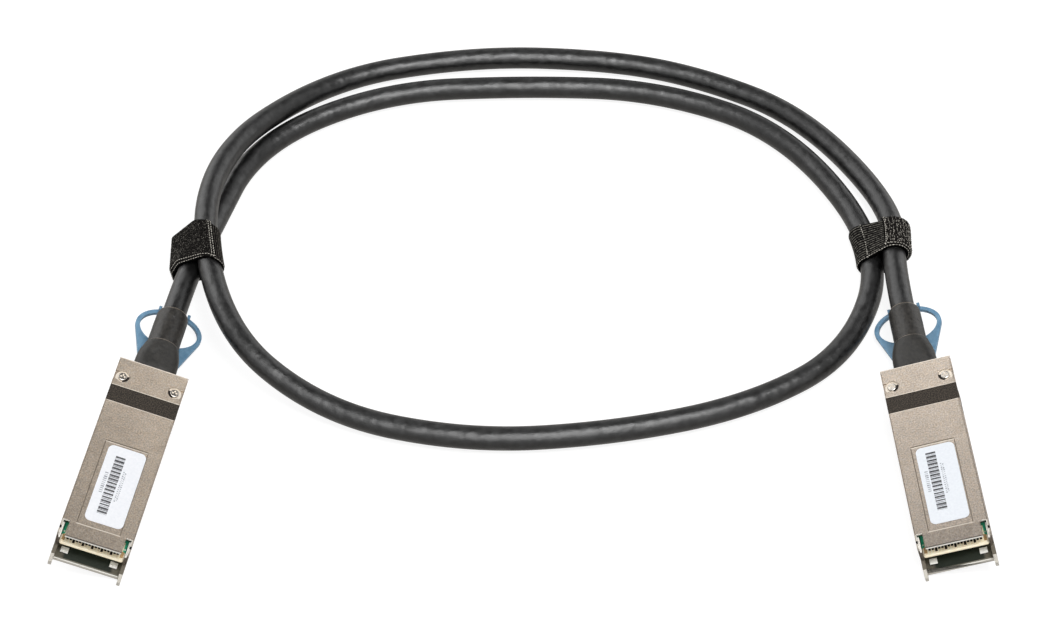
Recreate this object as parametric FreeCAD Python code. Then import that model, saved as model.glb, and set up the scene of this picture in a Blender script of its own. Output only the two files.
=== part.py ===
"""Direct attach copper cable: two identical pluggable ends joined by one round cable.

Each plug is modelled in its own frame (X across, +Y towards the cable, +Z towards the label side,
origin at the middle of the rear metal face, at the underside of the body) and is then placed on the
table, leaning on its inner lower edge as the stiff cable holds it. All lengths are in millimetres.
"""
import FreeCAD, Part
import math
import os

os.makedirs("parts", exist_ok=True)

# --- Plug body -------------------------------------------------------------------------------------
PLUG_WIDTH = 18.35
PLUG_HEIGHT = 8.5
COVER_LENGTH = 54.6          # rear face to the cover's front edge
LIP_REACH = 2.6              # floor of the nose beyond the cover
PRONG_REACH = 1.6            # side prongs beyond the floor's lip
PRONG_WIDTH = 0.85
NOSE_WALL_HEIGHT = 3.0       # low side walls of the nose
FLOOR = 1.0
FRONT_WALL = 0.95            # side wall beside the wide part of the card
SIDE_WALL = 1.9              # side wall where the latch arm runs in it
COVER_THICKNESS = 1.3
RIM = 0.5                    # edge of the shell that shows beside the cover
SEAM = 0.06                  # gap round the cover
REAR_WALL = 2.0
EDGE_BREAK = 0.3             # small chamfer on the cast edges

# --- Head, the thicker end that stays outside the port -------------------------------------------------
HEAD_LENGTH = 8.6
HEAD_DROP = 2.2              # how far the head stands below the body
HEAD_CAVITY_HALF = 5.25
HEAD_CAVITY_LENGTH = 7.6
HEAD_FLOOR = 1.3

# --- Gasket ------------------------------------------------------------------------------------------
GASKET_LENGTH = 4.85
GASKET_THICKNESS = 0.3

# --- Cover features ------------------------------------------------------------------------------------
LABEL_RECESS_WIDTH = 11.1
LABEL_RECESS_START = 25.0    # from the rear face
LABEL_RECESS_LENGTH = 25.0
LABEL_RECESS_DEPTH = 0.2
LABEL_SIDE_MARGIN = 0.65
LABEL_SETBACK = 1.0          # from the recess's rear edge
LABEL_FRONT_MARGIN = 1.6
LABEL_THICKNESS = 0.12
LABEL_CORNER = 1.2
NOTCH_WIDTH = 2.0            # corner notches that show the card
NOTCH_LENGTH = 4.4
TONGUE_FALL = 0.35           # the cover's front slopes down between the notches
TONGUE_THICKNESS = 0.6       # at the cover's front edge
DETENT_LENGTH = 0.55         # small cut in each rim beside the notch
DETENT_DEPTH = 0.8
RIB_WIDTH = 0.7
RIB_DEPTH = 0.8

# --- Cover screws ----------------------------------------------------------------------------------------
SCREW_FROM_SIDE = 2.25
SCREW_FROM_REAR = 5.45
SCREW_HEAD_RADIUS = 1.15
SCREW_HEAD_HEIGHT = 0.62
SCREW_SHANK_RADIUS = 0.65
SCREW_LENGTH = 5.0
SCREW_DRIVE = 0.42
POCKET_RADIUS = 1.75
POCKET_DEPTH = 0.7
HOLE_CLEARANCE = 0.05

# --- Card -----------------------------------------------------------------------------------------------
CARD_THICKNESS = 1.0
CARD_UNDERSIDE = 3.9
CARD_CLEARANCE = 0.05
CARD_BEYOND_COVER = 0.1
CARD_WIDE_LENGTH = 13.5
CARD_LENGTH = 35.4
CARD_BEVEL = 0.3
CARD_CORNER = 0.6
CONTACT_COUNT = 19           # on each side of the card
CONTACT_PITCH = 0.8
CONTACT_WIDTH = 0.5
CONTACT_LENGTH = 4.6
CONTACT_THICKNESS = 0.05
CONTACT_SETBACK = 0.6
REST_LENGTH = 2.0            # ledges that carry the card's rear end
PAD_FROM_SIDE = 2.9          # raised pads on the nose's floor
PAD_WIDTH = 1.95
PAD_LENGTH = 1.6
PAD_HEIGHT = 0.6
PAD_BEYOND_CARD = 0.6

# --- Latch slider ------------------------------------------------------------------------------------------
ARM_THICKNESS = 0.5
ARM_HEIGHT = 4.0
ARM_BOTTOM = 1.4
ARM_REACH = 38.0             # from the rear face towards the nose
ARM_INSET = 0.475            # arm's outer face below the plug's side
LATCH_TRAVEL = 2.0
RUNNING_GAP = 0.15
SLIDER_END = 0.5             # slider's rear edge inside the rear face
BRIDGE_LENGTH = 6.0
TONGUE_HALF = 4.0
TONGUE_REACH = 3.6
WING_LENGTH = 2.2
WING_RISE = 0.4
LUG_THICKNESS = 0.5
LUG_REACH = 1.9
SPRING_HALF_WIDTH = 0.75
SPRING_LEAF = 0.5            # across the plug, through one slanting leaf
SPRING_HALF_HEIGHT = 0.6
SPRING_FOLDS = 7
SPRING_HEIGHT = 0.7          # spring axis above the body's underside
SPRING_WALL = 1.2

# --- Boot ----------------------------------------------------------------------------------------------------
BOOT_AXIS = 3.6
BOOT_RADIUS = 5.7
BOOT_HALF_HEIGHT = 4.4
BOOT_STRAIGHT = 3.4
BOOT_LENGTH = 9.7
SLEEVE_RADIUS = 4.25
SLEEVE_WALL = 0.6
SLEEVE_LENGTH = 11.2
TAIL_SHORT = 0.4             # the moulded tail ends this far inside the sleeve
NECK_RADIUS = 4.1
COLLAR_RADIUS = 4.4
COLLAR_LENGTH = 1.0
CORE_RADIUS = 2.5
CRIMP_WALL = 0.7
CRIMP_LENGTH = 4.6

# --- Copper pairs ----------------------------------------------------------------------------------------------
PAIRS_PER_SIDE = 4
PAIR_WIDTH = 1.0
PAIR_HEIGHT = 0.7
PAIR_BUNDLE_PITCH = 1.12
PAIR_CARD_PITCH = 3.1
PAIR_ON_CARD = 3.0

# --- Pull tab --------------------------------------------------------------------------------------------------
TAB_THICKNESS = 1.2
TAB_NECK_HALF = 5.2
TAB_NECK_START = 0.3
TAB_NECK_LENGTH = 7.5
RING_HALF_WIDTH = 9.0        # the ring is an oval across the plug
RING_HALF_LENGTH = 6.2
RING_CENTRE = 18.9
RING_BAND = 1.2
RING_FAR_BAND = 1.0
NUB_WIDTH = 0.8
NUB_LENGTH = 1.1
NUB_HEIGHT = 3.0
NUB_GAP = 0.4

# --- How the plugs lie ---------------------------------------------------------------------------------------------
LEAN = 17.0                  # degrees, each label face turned towards the loop
PLUG_ENDS = {
    "left": {"rear": (-97.44, 16.51), "yaw": -10.7, "lean": LEAN, "label_shift": 0.6},
    "right": {"rear": (103.53, 17.73), "yaw": 4.6, "lean": -LEAN, "label_shift": 0.3},
}

# --- Cable ---------------------------------------------------------------------------------------------------------
CABLE_DIAMETER = 6.3
ARC_SHARE = 0.45             # part of the shorter run that each arc takes
STRAIGHT_EXIT = 15.5         # straight out of each boot
LOW = CABLE_DIAMETER / 2     # the axis when the cable lies on the table
HUMP = 12.8                  # the axis where one strand rests on the other
CABLE_ROUTE = [              # between the two boots, from the left plug to the right one
    (-87.1, 70.1, LOW),
    (-76.5, 105.5, LOW),
    (-40.9, 126.6, LOW),
    (1.6, 129.1, LOW),
    (39.4, 127.2, LOW),
    (75.8, 110.1, LOW),
    (99.1, 64.8, LOW),
    (86.8, 28.8, LOW),
    (58.7, 10.9, LOW),
    (22.7, 2.1, LOW),
    (-14.6, -0.5, LOW),
    (-52.7, 9.1, LOW),
    (-81.0, 31.2, HUMP),
    (-89.9, 88.2, HUMP),
    (-57.9, 131.7, LOW),
    (-14.3, 141.5, LOW),
    (23.9, 139.9, LOW),
    (50.6, 133.2, LOW),
    (80.5, 116.8, LOW),
    (102.8, 80.5, LOW + 0.5),
]

# --- Ties ----------------------------------------------------------------------------------------------------------
TIE_WIDTH = 12.0
TIE_THICKNESS = 1.0
TIE_GAP = 0.6                # slack between strap and cable
TIE_SIDES = 48
TIES = {                     # middle, turn, and slack corners as (across, height, radius)
    "left_tie": {"middle": (-87.5, 58.0), "turn": 12.0, "slack": [(-7.7, 6.6, 0.8), (-6.9, 3.0, 0.8)]},
    "right_tie": {"middle": (97.6, 65.8), "turn": -4.0, "slack": []},
}

half_width = PLUG_WIDTH / 2
label_half = LABEL_RECESS_WIDTH / 2 - LABEL_SIDE_MARGIN
label_length = LABEL_RECESS_LENGTH - LABEL_SETBACK - LABEL_FRONT_MARGIN
lip_y = -(COVER_LENGTH + LIP_REACH)
tip_y = lip_y - PRONG_REACH
card_front_y = -(COVER_LENGTH + CARD_BEYOND_COVER)
card_top = CARD_UNDERSIDE + CARD_THICKNESS
cover_underside = PLUG_HEIGHT - COVER_THICKNESS
cavity_half = half_width - SIDE_WALL
arm_outer = half_width - ARM_INSET
arm_inner = arm_outer - ARM_THICKNESS
groove_inner = arm_inner - RUNNING_GAP / 2
arm_top = ARM_BOTTOM + ARM_HEIGHT
slider_bottom = -HEAD_DROP + SEAM
slider_front = -(SLIDER_END + BRIDGE_LENGTH)
wide_bay_y = card_front_y + CARD_WIDE_LENGTH + CARD_CLEARANCE
boot_end_y = BOOT_LENGTH + SLEEVE_LENGTH - TAIL_SHORT
UP = FreeCAD.Vector(0, 0, 1)
ALONG = FreeCAD.Vector(0, 1, 0)
ACROSS = FreeCAD.Vector(1, 0, 0)


def box(x0, x1, y0, y1, z0, z1):
    """A box between two corners."""
    return Part.makeBox(x1 - x0, y1 - y0, z1 - z0, FreeCAD.Vector(x0, y0, z0))


def both_sides(shape):
    """A shape and its mirror image across the plug's middle."""
    return [shape, shape.mirror(FreeCAD.Vector(0, 0, 0), ACROSS)]


def rod(radius, y0, y1, height=BOOT_AXIS):
    """A round bar along the plug."""
    return Part.makeCylinder(radius, y1 - y0, FreeCAD.Vector(0, y0, height), ALONG)


def prism(points, direction):
    """A closed outline of points, pushed along a direction."""
    outline = Part.makePolygon(points + [points[0]])
    return Part.Face(outline).extrude(direction)


def slab(half_x, y0, y1, z0, z1, corner):
    """A plate centred across the plug with rounded upright corners."""
    plate = box(-half_x, half_x, y0, y1, z0, z1)
    upright = [e for e in plate.Edges if abs(e.Vertexes[0].X - e.Vertexes[1].X) < 1e-6
               and abs(e.Vertexes[0].Y - e.Vertexes[1].Y) < 1e-6]
    return plate.makeFillet(corner, upright)


def gasket_band(inset):
    """The belt between the plug's outline and the same outline drawn in by an inset."""
    y0 = -(HEAD_LENGTH + GASKET_LENGTH)
    outer = box(-half_width, half_width, y0, -HEAD_LENGTH, 0, PLUG_HEIGHT)
    inner = box(-half_width + inset, half_width - inset, y0, -HEAD_LENGTH, inset, PLUG_HEIGHT - inset)
    return outer.cut(inner)


def latch_room():
    """What the slider needs in the shell: side grooves, the recess under the head, spring pockets."""
    gap = RUNNING_GAP
    groove = box(groove_inner, half_width, -(ARM_REACH + gap * 4), 0, ARM_BOTTOM - gap, arm_top + gap)
    leg = box(groove_inner, half_width, slider_front - gap, 0, -HEAD_DROP, arm_top + gap)
    under = box(-half_width, half_width, slider_front - gap, 0, -HEAD_DROP,
                slider_bottom + ARM_THICKNESS + gap)
    pocket_half = SPRING_HALF_WIDTH + gap
    pocket = box(arm_inner - LUG_REACH - gap, groove_inner, slider_front - gap, -SPRING_WALL,
                 SPRING_HEIGHT - pocket_half, SPRING_HEIGHT + pocket_half)
    return both_sides(groove) + both_sides(leg) + both_sides(pocket) + [under]


def boot_room():
    """What the boot's neck and collar need in the rear wall and the cover."""
    collar_y = -REAR_WALL - COLLAR_LENGTH - HOLE_CLEARANCE
    return [rod(NECK_RADIUS + HOLE_CLEARANCE, -REAR_WALL, 0),
            rod(COLLAR_RADIUS + HOLE_CLEARANCE, collar_y, -REAR_WALL)]


def screw_places():
    """The two screw axes, left and right."""
    x = half_width - SCREW_FROM_SIDE
    return [FreeCAD.Vector(side * x, -SCREW_FROM_REAR, 0) for side in (-1, 1)]


def screw_pocket(place):
    """The round pocket in the cover that opens to the plug's side."""
    z0 = PLUG_HEIGHT - POCKET_DEPTH
    base = FreeCAD.Vector(place.x, place.y, z0)
    pocket = Part.makeCylinder(POCKET_RADIUS, POCKET_DEPTH, base)
    reach = sorted((place.x, math.copysign(half_width, place.x)))
    half_mouth = POCKET_RADIUS * 0.75
    mouth = box(reach[0], reach[1], place.y - half_mouth, place.y + half_mouth, z0, PLUG_HEIGHT)
    return pocket.fuse(mouth)


def bottom_shell():
    """The cast tray: floor, side walls, head, open nose with its low walls and two prongs."""
    body = box(-half_width, half_width, -COVER_LENGTH, 0, 0, PLUG_HEIGHT)
    head = box(-half_width, half_width, -HEAD_LENGTH, 0, -HEAD_DROP, 0)
    step = [e for e in head.Edges if abs(e.BoundBox.YMax + HEAD_LENGTH) < 1e-6
            and abs(e.BoundBox.ZMax + HEAD_DROP) < 1e-6]
    head = head.makeChamfer(EDGE_BREAK, step)
    nose = box(-half_width, half_width, lip_y, -COVER_LENGTH, 0, NOSE_WALL_HEIGHT)
    prong = prism([FreeCAD.Vector(half_width, lip_y, 0),
                   FreeCAD.Vector(half_width, tip_y, 0),
                   FreeCAD.Vector(half_width, tip_y, NOSE_WALL_HEIGHT * 0.55),
                   FreeCAD.Vector(half_width, lip_y, NOSE_WALL_HEIGHT)], ACROSS * -PRONG_WIDTH)
    shell = body.fuse([head, nose] + both_sides(prong))
    wide_bay = box(-half_width + FRONT_WALL, half_width - FRONT_WALL, lip_y, wide_bay_y, FLOOR, PLUG_HEIGHT)
    long_bay = box(-cavity_half, cavity_half, wide_bay_y, -HEAD_CAVITY_LENGTH - REAR_WALL, FLOOR, PLUG_HEIGHT)
    head_bay = box(-HEAD_CAVITY_HALF, HEAD_CAVITY_HALF, -HEAD_CAVITY_LENGTH - REAR_WALL, -REAR_WALL,
                   -HEAD_DROP + HEAD_FLOOR, PLUG_HEIGHT)
    seat = box(-half_width + RIM, half_width - RIM, -COVER_LENGTH, 0, cover_underside, PLUG_HEIGHT)
    screw_z = PLUG_HEIGHT - POCKET_DEPTH - SCREW_LENGTH
    holes = [Part.makeCylinder(SCREW_SHANK_RADIUS, PLUG_HEIGHT - screw_z,
                               FreeCAD.Vector(p.x, p.y, screw_z)) for p in screw_places()]
    notches = both_sides(box(half_width - RIM, half_width, -COVER_LENGTH,
                             -COVER_LENGTH + NOTCH_LENGTH * 0.12, NOSE_WALL_HEIGHT, PLUG_HEIGHT))
    detent_y = -COVER_LENGTH + (NOTCH_LENGTH - DETENT_LENGTH) / 2
    detents = both_sides(box(half_width - RIM, half_width, detent_y, detent_y + DETENT_LENGTH,
                             PLUG_HEIGHT - DETENT_DEPTH, PLUG_HEIGHT))
    pockets = [screw_pocket(p) for p in screw_places()]
    shell = shell.cut([wide_bay, long_bay, head_bay, seat, gasket_band(GASKET_THICKNESS)]
                      + holes + latch_room() + boot_room() + pockets + notches + detents)
    pad_x = half_width - PAD_FROM_SIDE
    pad_y = card_front_y - PAD_BEYOND_CARD
    pad = box(pad_x - PAD_WIDTH / 2, pad_x + PAD_WIDTH / 2, pad_y, pad_y + PAD_LENGTH, FLOOR,
              FLOOR + PAD_HEIGHT)
    rest_y = card_front_y + CARD_LENGTH
    rest = box(-cavity_half, cavity_half, rest_y - REST_LENGTH, rest_y, FLOOR, CARD_UNDERSIDE)
    gap_half = (PAIRS_PER_SIDE - 1) / 2 * PAIR_CARD_PITCH + PAIR_WIDTH / 2 + EDGE_BREAK
    gap = box(-gap_half, gap_half, rest_y - REST_LENGTH, rest_y, FLOOR + EDGE_BREAK, CARD_UNDERSIDE)
    return shell.fuse(both_sides(pad) + [rest.cut(gap)]).removeSplitter()


def top_cover():
    """The cast cover: label recess, screw pockets, notched front and a sloping tongue."""
    half = half_width - RIM - SEAM
    cover = box(-half, half, -COVER_LENGTH, 0, cover_underside, PLUG_HEIGHT)
    rib_x = cavity_half - CARD_CLEARANCE
    rib = box(rib_x - RIB_WIDTH, rib_x, wide_bay_y + NOTCH_WIDTH, -(HEAD_LENGTH + GASKET_LENGTH),
              cover_underside - RIB_DEPTH, cover_underside)
    cover = cover.fuse(both_sides(rib))
    recess_y = -(LABEL_RECESS_START + LABEL_RECESS_LENGTH)
    recess = box(-LABEL_RECESS_WIDTH / 2, LABEL_RECESS_WIDTH / 2, recess_y, -LABEL_RECESS_START,
                 PLUG_HEIGHT - LABEL_RECESS_DEPTH, PLUG_HEIGHT)
    notch_x = half_width - NOTCH_WIDTH
    notch = box(notch_x, half_width, -COVER_LENGTH, -COVER_LENGTH + NOTCH_LENGTH, 0, PLUG_HEIGHT)
    slope = prism([FreeCAD.Vector(-half_width, recess_y, PLUG_HEIGHT),
                   FreeCAD.Vector(-half_width, -COVER_LENGTH, PLUG_HEIGHT),
                   FreeCAD.Vector(-half_width, -COVER_LENGTH, PLUG_HEIGHT - TONGUE_FALL)],
                  ACROSS * PLUG_WIDTH)
    relief = box(-half_width, half_width, -COVER_LENGTH, -COVER_LENGTH + NOTCH_LENGTH, cover_underside,
                 PLUG_HEIGHT - TONGUE_FALL - TONGUE_THICKNESS)
    pockets = [screw_pocket(p) for p in screw_places()]
    holes = [Part.makeCylinder(SCREW_SHANK_RADIUS + HOLE_CLEARANCE, COVER_THICKNESS,
                               FreeCAD.Vector(p.x, p.y, cover_underside)) for p in screw_places()]
    band = gasket_band(GASKET_THICKNESS)
    return cover.cut([recess, slope, relief, band] + both_sides(notch) + pockets + holes
                     + boot_room()).removeSplitter()


def cover_screws():
    """Two small pan-head screws with a cross drive."""
    screws = []
    for place in screw_places():
        seat_z = PLUG_HEIGHT - POCKET_DEPTH
        head = Part.makeCylinder(SCREW_HEAD_RADIUS, SCREW_HEAD_HEIGHT,
                                 FreeCAD.Vector(place.x, place.y, seat_z))
        crown = [e for e in head.Edges if abs(e.BoundBox.ZMin - seat_z - SCREW_HEAD_HEIGHT) < 1e-6]
        head = head.makeFillet(SCREW_HEAD_HEIGHT * 0.4, crown)
        shank = Part.makeCylinder(SCREW_SHANK_RADIUS, SCREW_LENGTH,
                                  FreeCAD.Vector(place.x, place.y, seat_z - SCREW_LENGTH))
        slot = SCREW_DRIVE / 2
        arm = SCREW_HEAD_RADIUS * 0.62
        z0 = seat_z + SCREW_HEAD_HEIGHT * 0.45
        z1 = seat_z + SCREW_HEAD_HEIGHT
        cross = box(place.x - arm, place.x + arm, place.y - slot, place.y + slot, z0, z1)
        cross = cross.fuse(box(place.x - slot, place.x + slot, place.y - arm, place.y + arm, z0, z1))
        screws.append(head.fuse(shank).cut(cross).removeSplitter())
    return Part.makeCompound(screws)


def emi_gasket():
    """The conductive cloth belt in its groove round shell and cover."""
    return gasket_band(GASKET_THICKNESS)


def label():
    """The blank label in the cover's recess."""
    rear_y = -(LABEL_RECESS_START + LABEL_SETBACK)
    z0 = PLUG_HEIGHT - LABEL_RECESS_DEPTH
    return slab(label_half, rear_y - label_length, rear_y, z0, z0 + LABEL_THICKNESS, LABEL_CORNER)


def paddle_card():
    """The printed card: wide bevelled front with its contacts, narrower behind the latch arms."""
    wide = half_width - FRONT_WALL - CARD_CLEARANCE
    front = slab(wide, card_front_y, card_front_y + CARD_WIDE_LENGTH, CARD_UNDERSIDE, card_top, CARD_CORNER)
    edge = [e for e in front.Edges if e.BoundBox.YMax < card_front_y + 1e-6 and e.BoundBox.XLength > wide]
    front = front.makeChamfer(CARD_BEVEL, edge)
    back = box(-cavity_half + CARD_CLEARANCE, cavity_half - CARD_CLEARANCE,
               card_front_y + CARD_WIDE_LENGTH - CARD_CORNER * 2, card_front_y + CARD_LENGTH,
               CARD_UNDERSIDE, card_top)
    return front.fuse(back).removeSplitter()


def card_contacts():
    """Gold contacts, one row on each face of the card."""
    pads = []
    y0 = card_front_y + CONTACT_SETBACK
    for index in range(CONTACT_COUNT):
        x = (index - (CONTACT_COUNT - 1) / 2) * CONTACT_PITCH
        for z0 in (card_top, CARD_UNDERSIDE - CONTACT_THICKNESS):
            pads.append(box(x - CONTACT_WIDTH / 2, x + CONTACT_WIDTH / 2, y0, y0 + CONTACT_LENGTH,
                            z0, z0 + CONTACT_THICKNESS))
    return Part.makeCompound(pads)


def latch_slider():
    """The stamped slider: bridge under the head, two long side arms with release wings."""
    rear = -SLIDER_END
    bridge = box(-arm_outer, arm_outer, slider_front, rear, slider_bottom, slider_bottom + ARM_THICKNESS)
    tongue = box(-TONGUE_HALF, TONGUE_HALF, rear, TONGUE_REACH, slider_bottom, slider_bottom + ARM_THICKNESS)
    leg = box(arm_inner, arm_outer, slider_front, rear, slider_bottom, arm_top)
    arm = box(arm_inner, arm_outer, -ARM_REACH, slider_front, ARM_BOTTOM, arm_top)
    wing = prism([FreeCAD.Vector(arm_outer, -ARM_REACH, ARM_BOTTOM + ARM_HEIGHT / 4),
                  FreeCAD.Vector(arm_outer + WING_RISE, -ARM_REACH + WING_LENGTH * 0.4,
                                 ARM_BOTTOM + ARM_HEIGHT / 4),
                  FreeCAD.Vector(arm_outer, -ARM_REACH + WING_LENGTH, ARM_BOTTOM + ARM_HEIGHT / 4)],
                 UP * (ARM_HEIGHT / 2))
    lug = box(arm_inner - LUG_REACH, arm_inner, slider_front, slider_front + LUG_THICKNESS,
              SPRING_HEIGHT - SPRING_HALF_HEIGHT, SPRING_HEIGHT + SPRING_HALF_HEIGHT)
    pieces = both_sides(leg) + both_sides(arm) + both_sides(wing) + both_sides(lug)
    return bridge.fuse([tongue] + pieces).removeSplitter()


def return_springs():
    """One folded leaf spring on each side, between the slider's lug and the head's rear wall."""
    y0 = slider_front + LUG_THICKNESS
    y1 = -SPRING_WALL
    x_middle = arm_inner - LUG_REACH / 2 - SPRING_LEAF / 2
    reach = SPRING_HALF_WIDTH - SPRING_LEAF / 2
    zigzag = []
    for fold in range(SPRING_FOLDS + 1):
        side = 1 if fold % 2 else -1
        zigzag.append(FreeCAD.Vector(x_middle + side * reach, y0 + (y1 - y0) * fold / SPRING_FOLDS,
                                     SPRING_HEIGHT - SPRING_HALF_HEIGHT))
    far_edge = [point + ACROSS * SPRING_LEAF for point in reversed(zigzag)]
    return Part.makeCompound(both_sides(prism(zigzag + far_edge, UP * (2 * SPRING_HALF_HEIGHT))))


def strain_relief():
    """The moulded boot: collar and neck inside the head, flattened dome, tail under the sleeve."""
    dome_end = BOOT_LENGTH
    shoulder = FreeCAD.Vector(BOOT_RADIUS, BOOT_STRAIGHT, 0)
    middle = FreeCAD.Vector(BOOT_RADIUS - (BOOT_RADIUS - SLEEVE_RADIUS) * 0.42,
                            (BOOT_STRAIGHT + dome_end) / 2 + 0.3, 0)
    end = FreeCAD.Vector(SLEEVE_RADIUS, dome_end, 0)
    outline = Part.Wire([Part.makeLine(FreeCAD.Vector(0, 0, 0), FreeCAD.Vector(BOOT_RADIUS, 0, 0)),
                         Part.makeLine(FreeCAD.Vector(BOOT_RADIUS, 0, 0), shoulder),
                         Part.Arc(shoulder, middle, end).toShape(),
                         Part.makeLine(end, FreeCAD.Vector(0, dome_end, 0)),
                         Part.makeLine(FreeCAD.Vector(0, dome_end, 0), FreeCAD.Vector(0, 0, 0))])
    dome = Part.Face(outline).revolve(FreeCAD.Vector(0, 0, 0), ALONG, 360)
    dome.translate(UP * BOOT_AXIS)
    flat = box(-BOOT_RADIUS, BOOT_RADIUS, 0, dome_end, BOOT_AXIS - BOOT_HALF_HEIGHT,
               BOOT_AXIS + BOOT_HALF_HEIGHT)
    dome = dome.common(flat)
    neck = rod(NECK_RADIUS, -REAR_WALL, 0)
    collar = rod(COLLAR_RADIUS, -REAR_WALL - COLLAR_LENGTH, -REAR_WALL)
    tail = rod(SLEEVE_RADIUS - SLEEVE_WALL, dome_end, boot_end_y)
    core = rod(CORE_RADIUS, -REAR_WALL - COLLAR_LENGTH, 0)
    return dome.fuse([neck, collar, tail]).cut(core).removeSplitter()


def boot_sleeve():
    """The shrunk sleeve over the boot's tail and the end of the cable."""
    end = BOOT_LENGTH + SLEEVE_LENGTH
    tube = rod(SLEEVE_RADIUS, BOOT_LENGTH, end)
    rim = [e for e in tube.Edges if abs(e.BoundBox.YMin - end) < 1e-6]
    tube = tube.makeFillet(SLEEVE_WALL * 0.6, rim)
    return tube.cut(rod(SLEEVE_RADIUS - SLEEVE_WALL, BOOT_LENGTH, end))


def crimp_ring():
    """The ferrule that clamps the copper pairs and the braid behind the boot's collar."""
    y1 = -REAR_WALL - COLLAR_LENGTH
    outer = rod(CORE_RADIUS + CRIMP_WALL, y1 - CRIMP_LENGTH, y1)
    return outer.cut(rod(CORE_RADIUS, y1 - CRIMP_LENGTH, y1))


def copper_pairs():
    """Flat shielded pairs that fan out from the ferrule to both faces of the card."""
    rear = 0.0
    ring_front = -REAR_WALL - COLLAR_LENGTH - CRIMP_LENGTH
    card_rear = card_front_y + CARD_LENGTH
    pairs = []
    for side in (1, -1):
        for index in range(PAIRS_PER_SIDE):
            column = index - (PAIRS_PER_SIDE - 1) / 2
            x_bundle = column * PAIR_BUNDLE_PITCH
            x_card = column * PAIR_CARD_PITCH
            z_bundle = BOOT_AXIS + side * (PAIR_HEIGHT / 2 + HOLE_CLEARANCE)
            z_card = (card_top if side > 0 else CARD_UNDERSIDE) + side * (PAIR_HEIGHT / 2 + HOLE_CLEARANCE)
            sections = []
            for x, y, z in ((x_bundle, rear, z_bundle), (x_bundle, ring_front, z_bundle),
                            (x_card, card_rear, z_card), (x_card, card_rear - PAIR_ON_CARD, z_card)):
                corners = [FreeCAD.Vector(x + sx * PAIR_WIDTH / 2, y, z + sz * PAIR_HEIGHT / 2)
                           for sx, sz in ((-1, -1), (1, -1), (1, 1), (-1, 1))]
                sections.append(Part.makePolygon(corners + [corners[0]]))
            pairs.append(Part.makeLoft(sections, True, True))
    return Part.makeCompound(pairs)


def tangent_angle(x, y):
    """The ring oval's angle where the straight from (x, y) touches it, on the outer side."""
    down = (y - RING_CENTRE) * RING_HALF_WIDTH / RING_HALF_LENGTH
    return math.atan2(down, x) + math.acos(RING_HALF_WIDTH / math.hypot(x, down))


def pull_tab():
    """The moulded pull ring: neck on the slider's tongue, oval eye, two nubs beside the cable."""
    z0 = -HEAD_DROP
    neck_end = TAB_NECK_START + TAB_NECK_LENGTH
    start = FreeCAD.Vector(TAB_NECK_HALF, TAB_NECK_START, 0)
    corner = FreeCAD.Vector(TAB_NECK_HALF, neck_end, 0)
    angle = tangent_angle(TAB_NECK_HALF, neck_end)
    centre = FreeCAD.Vector(0, RING_CENTRE, 0)
    oval = Part.ArcOfEllipse(Part.Ellipse(centre, RING_HALF_WIDTH, RING_HALF_LENGTH), angle,
                             math.pi - angle).toShape()
    touch = FreeCAD.Vector(RING_HALF_WIDTH * math.cos(angle), RING_CENTRE + RING_HALF_LENGTH * math.sin(angle), 0)
    left_touch, left_corner, left_start = [FreeCAD.Vector(-p.x, p.y, 0) for p in (touch, corner, start)]
    outline = Part.Wire([Part.makeLine(start, corner), Part.makeLine(corner, touch), oval,
                         Part.makeLine(left_touch, left_corner), Part.makeLine(left_corner, left_start),
                         Part.makeLine(left_start, start)])
    plate = Part.Face(outline).extrude(UP * TAB_THICKNESS)
    eye_edge = Part.Ellipse(FreeCAD.Vector(0, RING_CENTRE, 0), RING_HALF_WIDTH - RING_BAND,
                            RING_HALF_LENGTH - RING_FAR_BAND).toShape()
    eye = Part.Face(Part.Wire(eye_edge)).extrude(UP * TAB_THICKNESS)
    nub_x = CABLE_DIAMETER / 2 + NUB_GAP
    nub_y = RING_CENTRE + RING_HALF_LENGTH - NUB_LENGTH * 1.6
    nub = box(nub_x, nub_x + NUB_WIDTH, nub_y, nub_y + NUB_LENGTH, 0, TAB_THICKNESS + NUB_HEIGHT)
    ring = plate.cut(eye).fuse(both_sides(nub))
    ring.translate(FreeCAD.Vector(0, 0, z0))
    tongue = box(-TONGUE_HALF, TONGUE_HALF, TAB_NECK_START, TONGUE_REACH,
                 slider_bottom, slider_bottom + ARM_THICKNESS)
    return ring.cut(tongue).removeSplitter()


PLUG_PIECES = {
    "bottom_shell": bottom_shell,
    "top_cover": top_cover,
    "cover_screws": cover_screws,
    "emi_gasket": emi_gasket,
    "label": label,
    "paddle_card": paddle_card,
    "card_contacts": card_contacts,
    "copper_pairs": copper_pairs,
    "crimp_ring": crimp_ring,
    "strain_relief": strain_relief,
    "boot_sleeve": boot_sleeve,
    "latch_slider": latch_slider,
    "return_springs": return_springs,
    "pull_tab": pull_tab,
}


def corner_arc(before, corner, after):
    """The arc that rounds one corner of the route, as its first, middle and last point and radius."""
    to_before = before - corner
    to_after = after - corner
    reach = ARC_SHARE * min(to_before.Length, to_after.Length)
    half_turn = (math.pi - to_before.getAngle(to_after)) / 2
    radius = reach / math.tan(half_turn)
    first = corner + to_before.normalize() * reach
    last = corner + to_after.normalize() * reach
    inward = (first + last) * 0.5 - corner
    apex = corner + inward.normalize() * (radius / math.cos(half_turn) - radius)
    return first, apex, last, radius


def cable_axis(points):
    """Straight runs joined by tangent arcs."""
    edges = []
    radii = []
    at = points[0]
    for before, corner, after in zip(points, points[1:], points[2:]):
        first, apex, last, radius = corner_arc(before, corner, after)
        edges.append(Part.LineSegment(at, first).toShape())
        edges.append(Part.Arc(first, apex, last).toShape())
        radii.append(radius)
        at = last
    edges.append(Part.LineSegment(at, points[-1]).toShape())
    return Part.Wire(edges), radii


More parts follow.
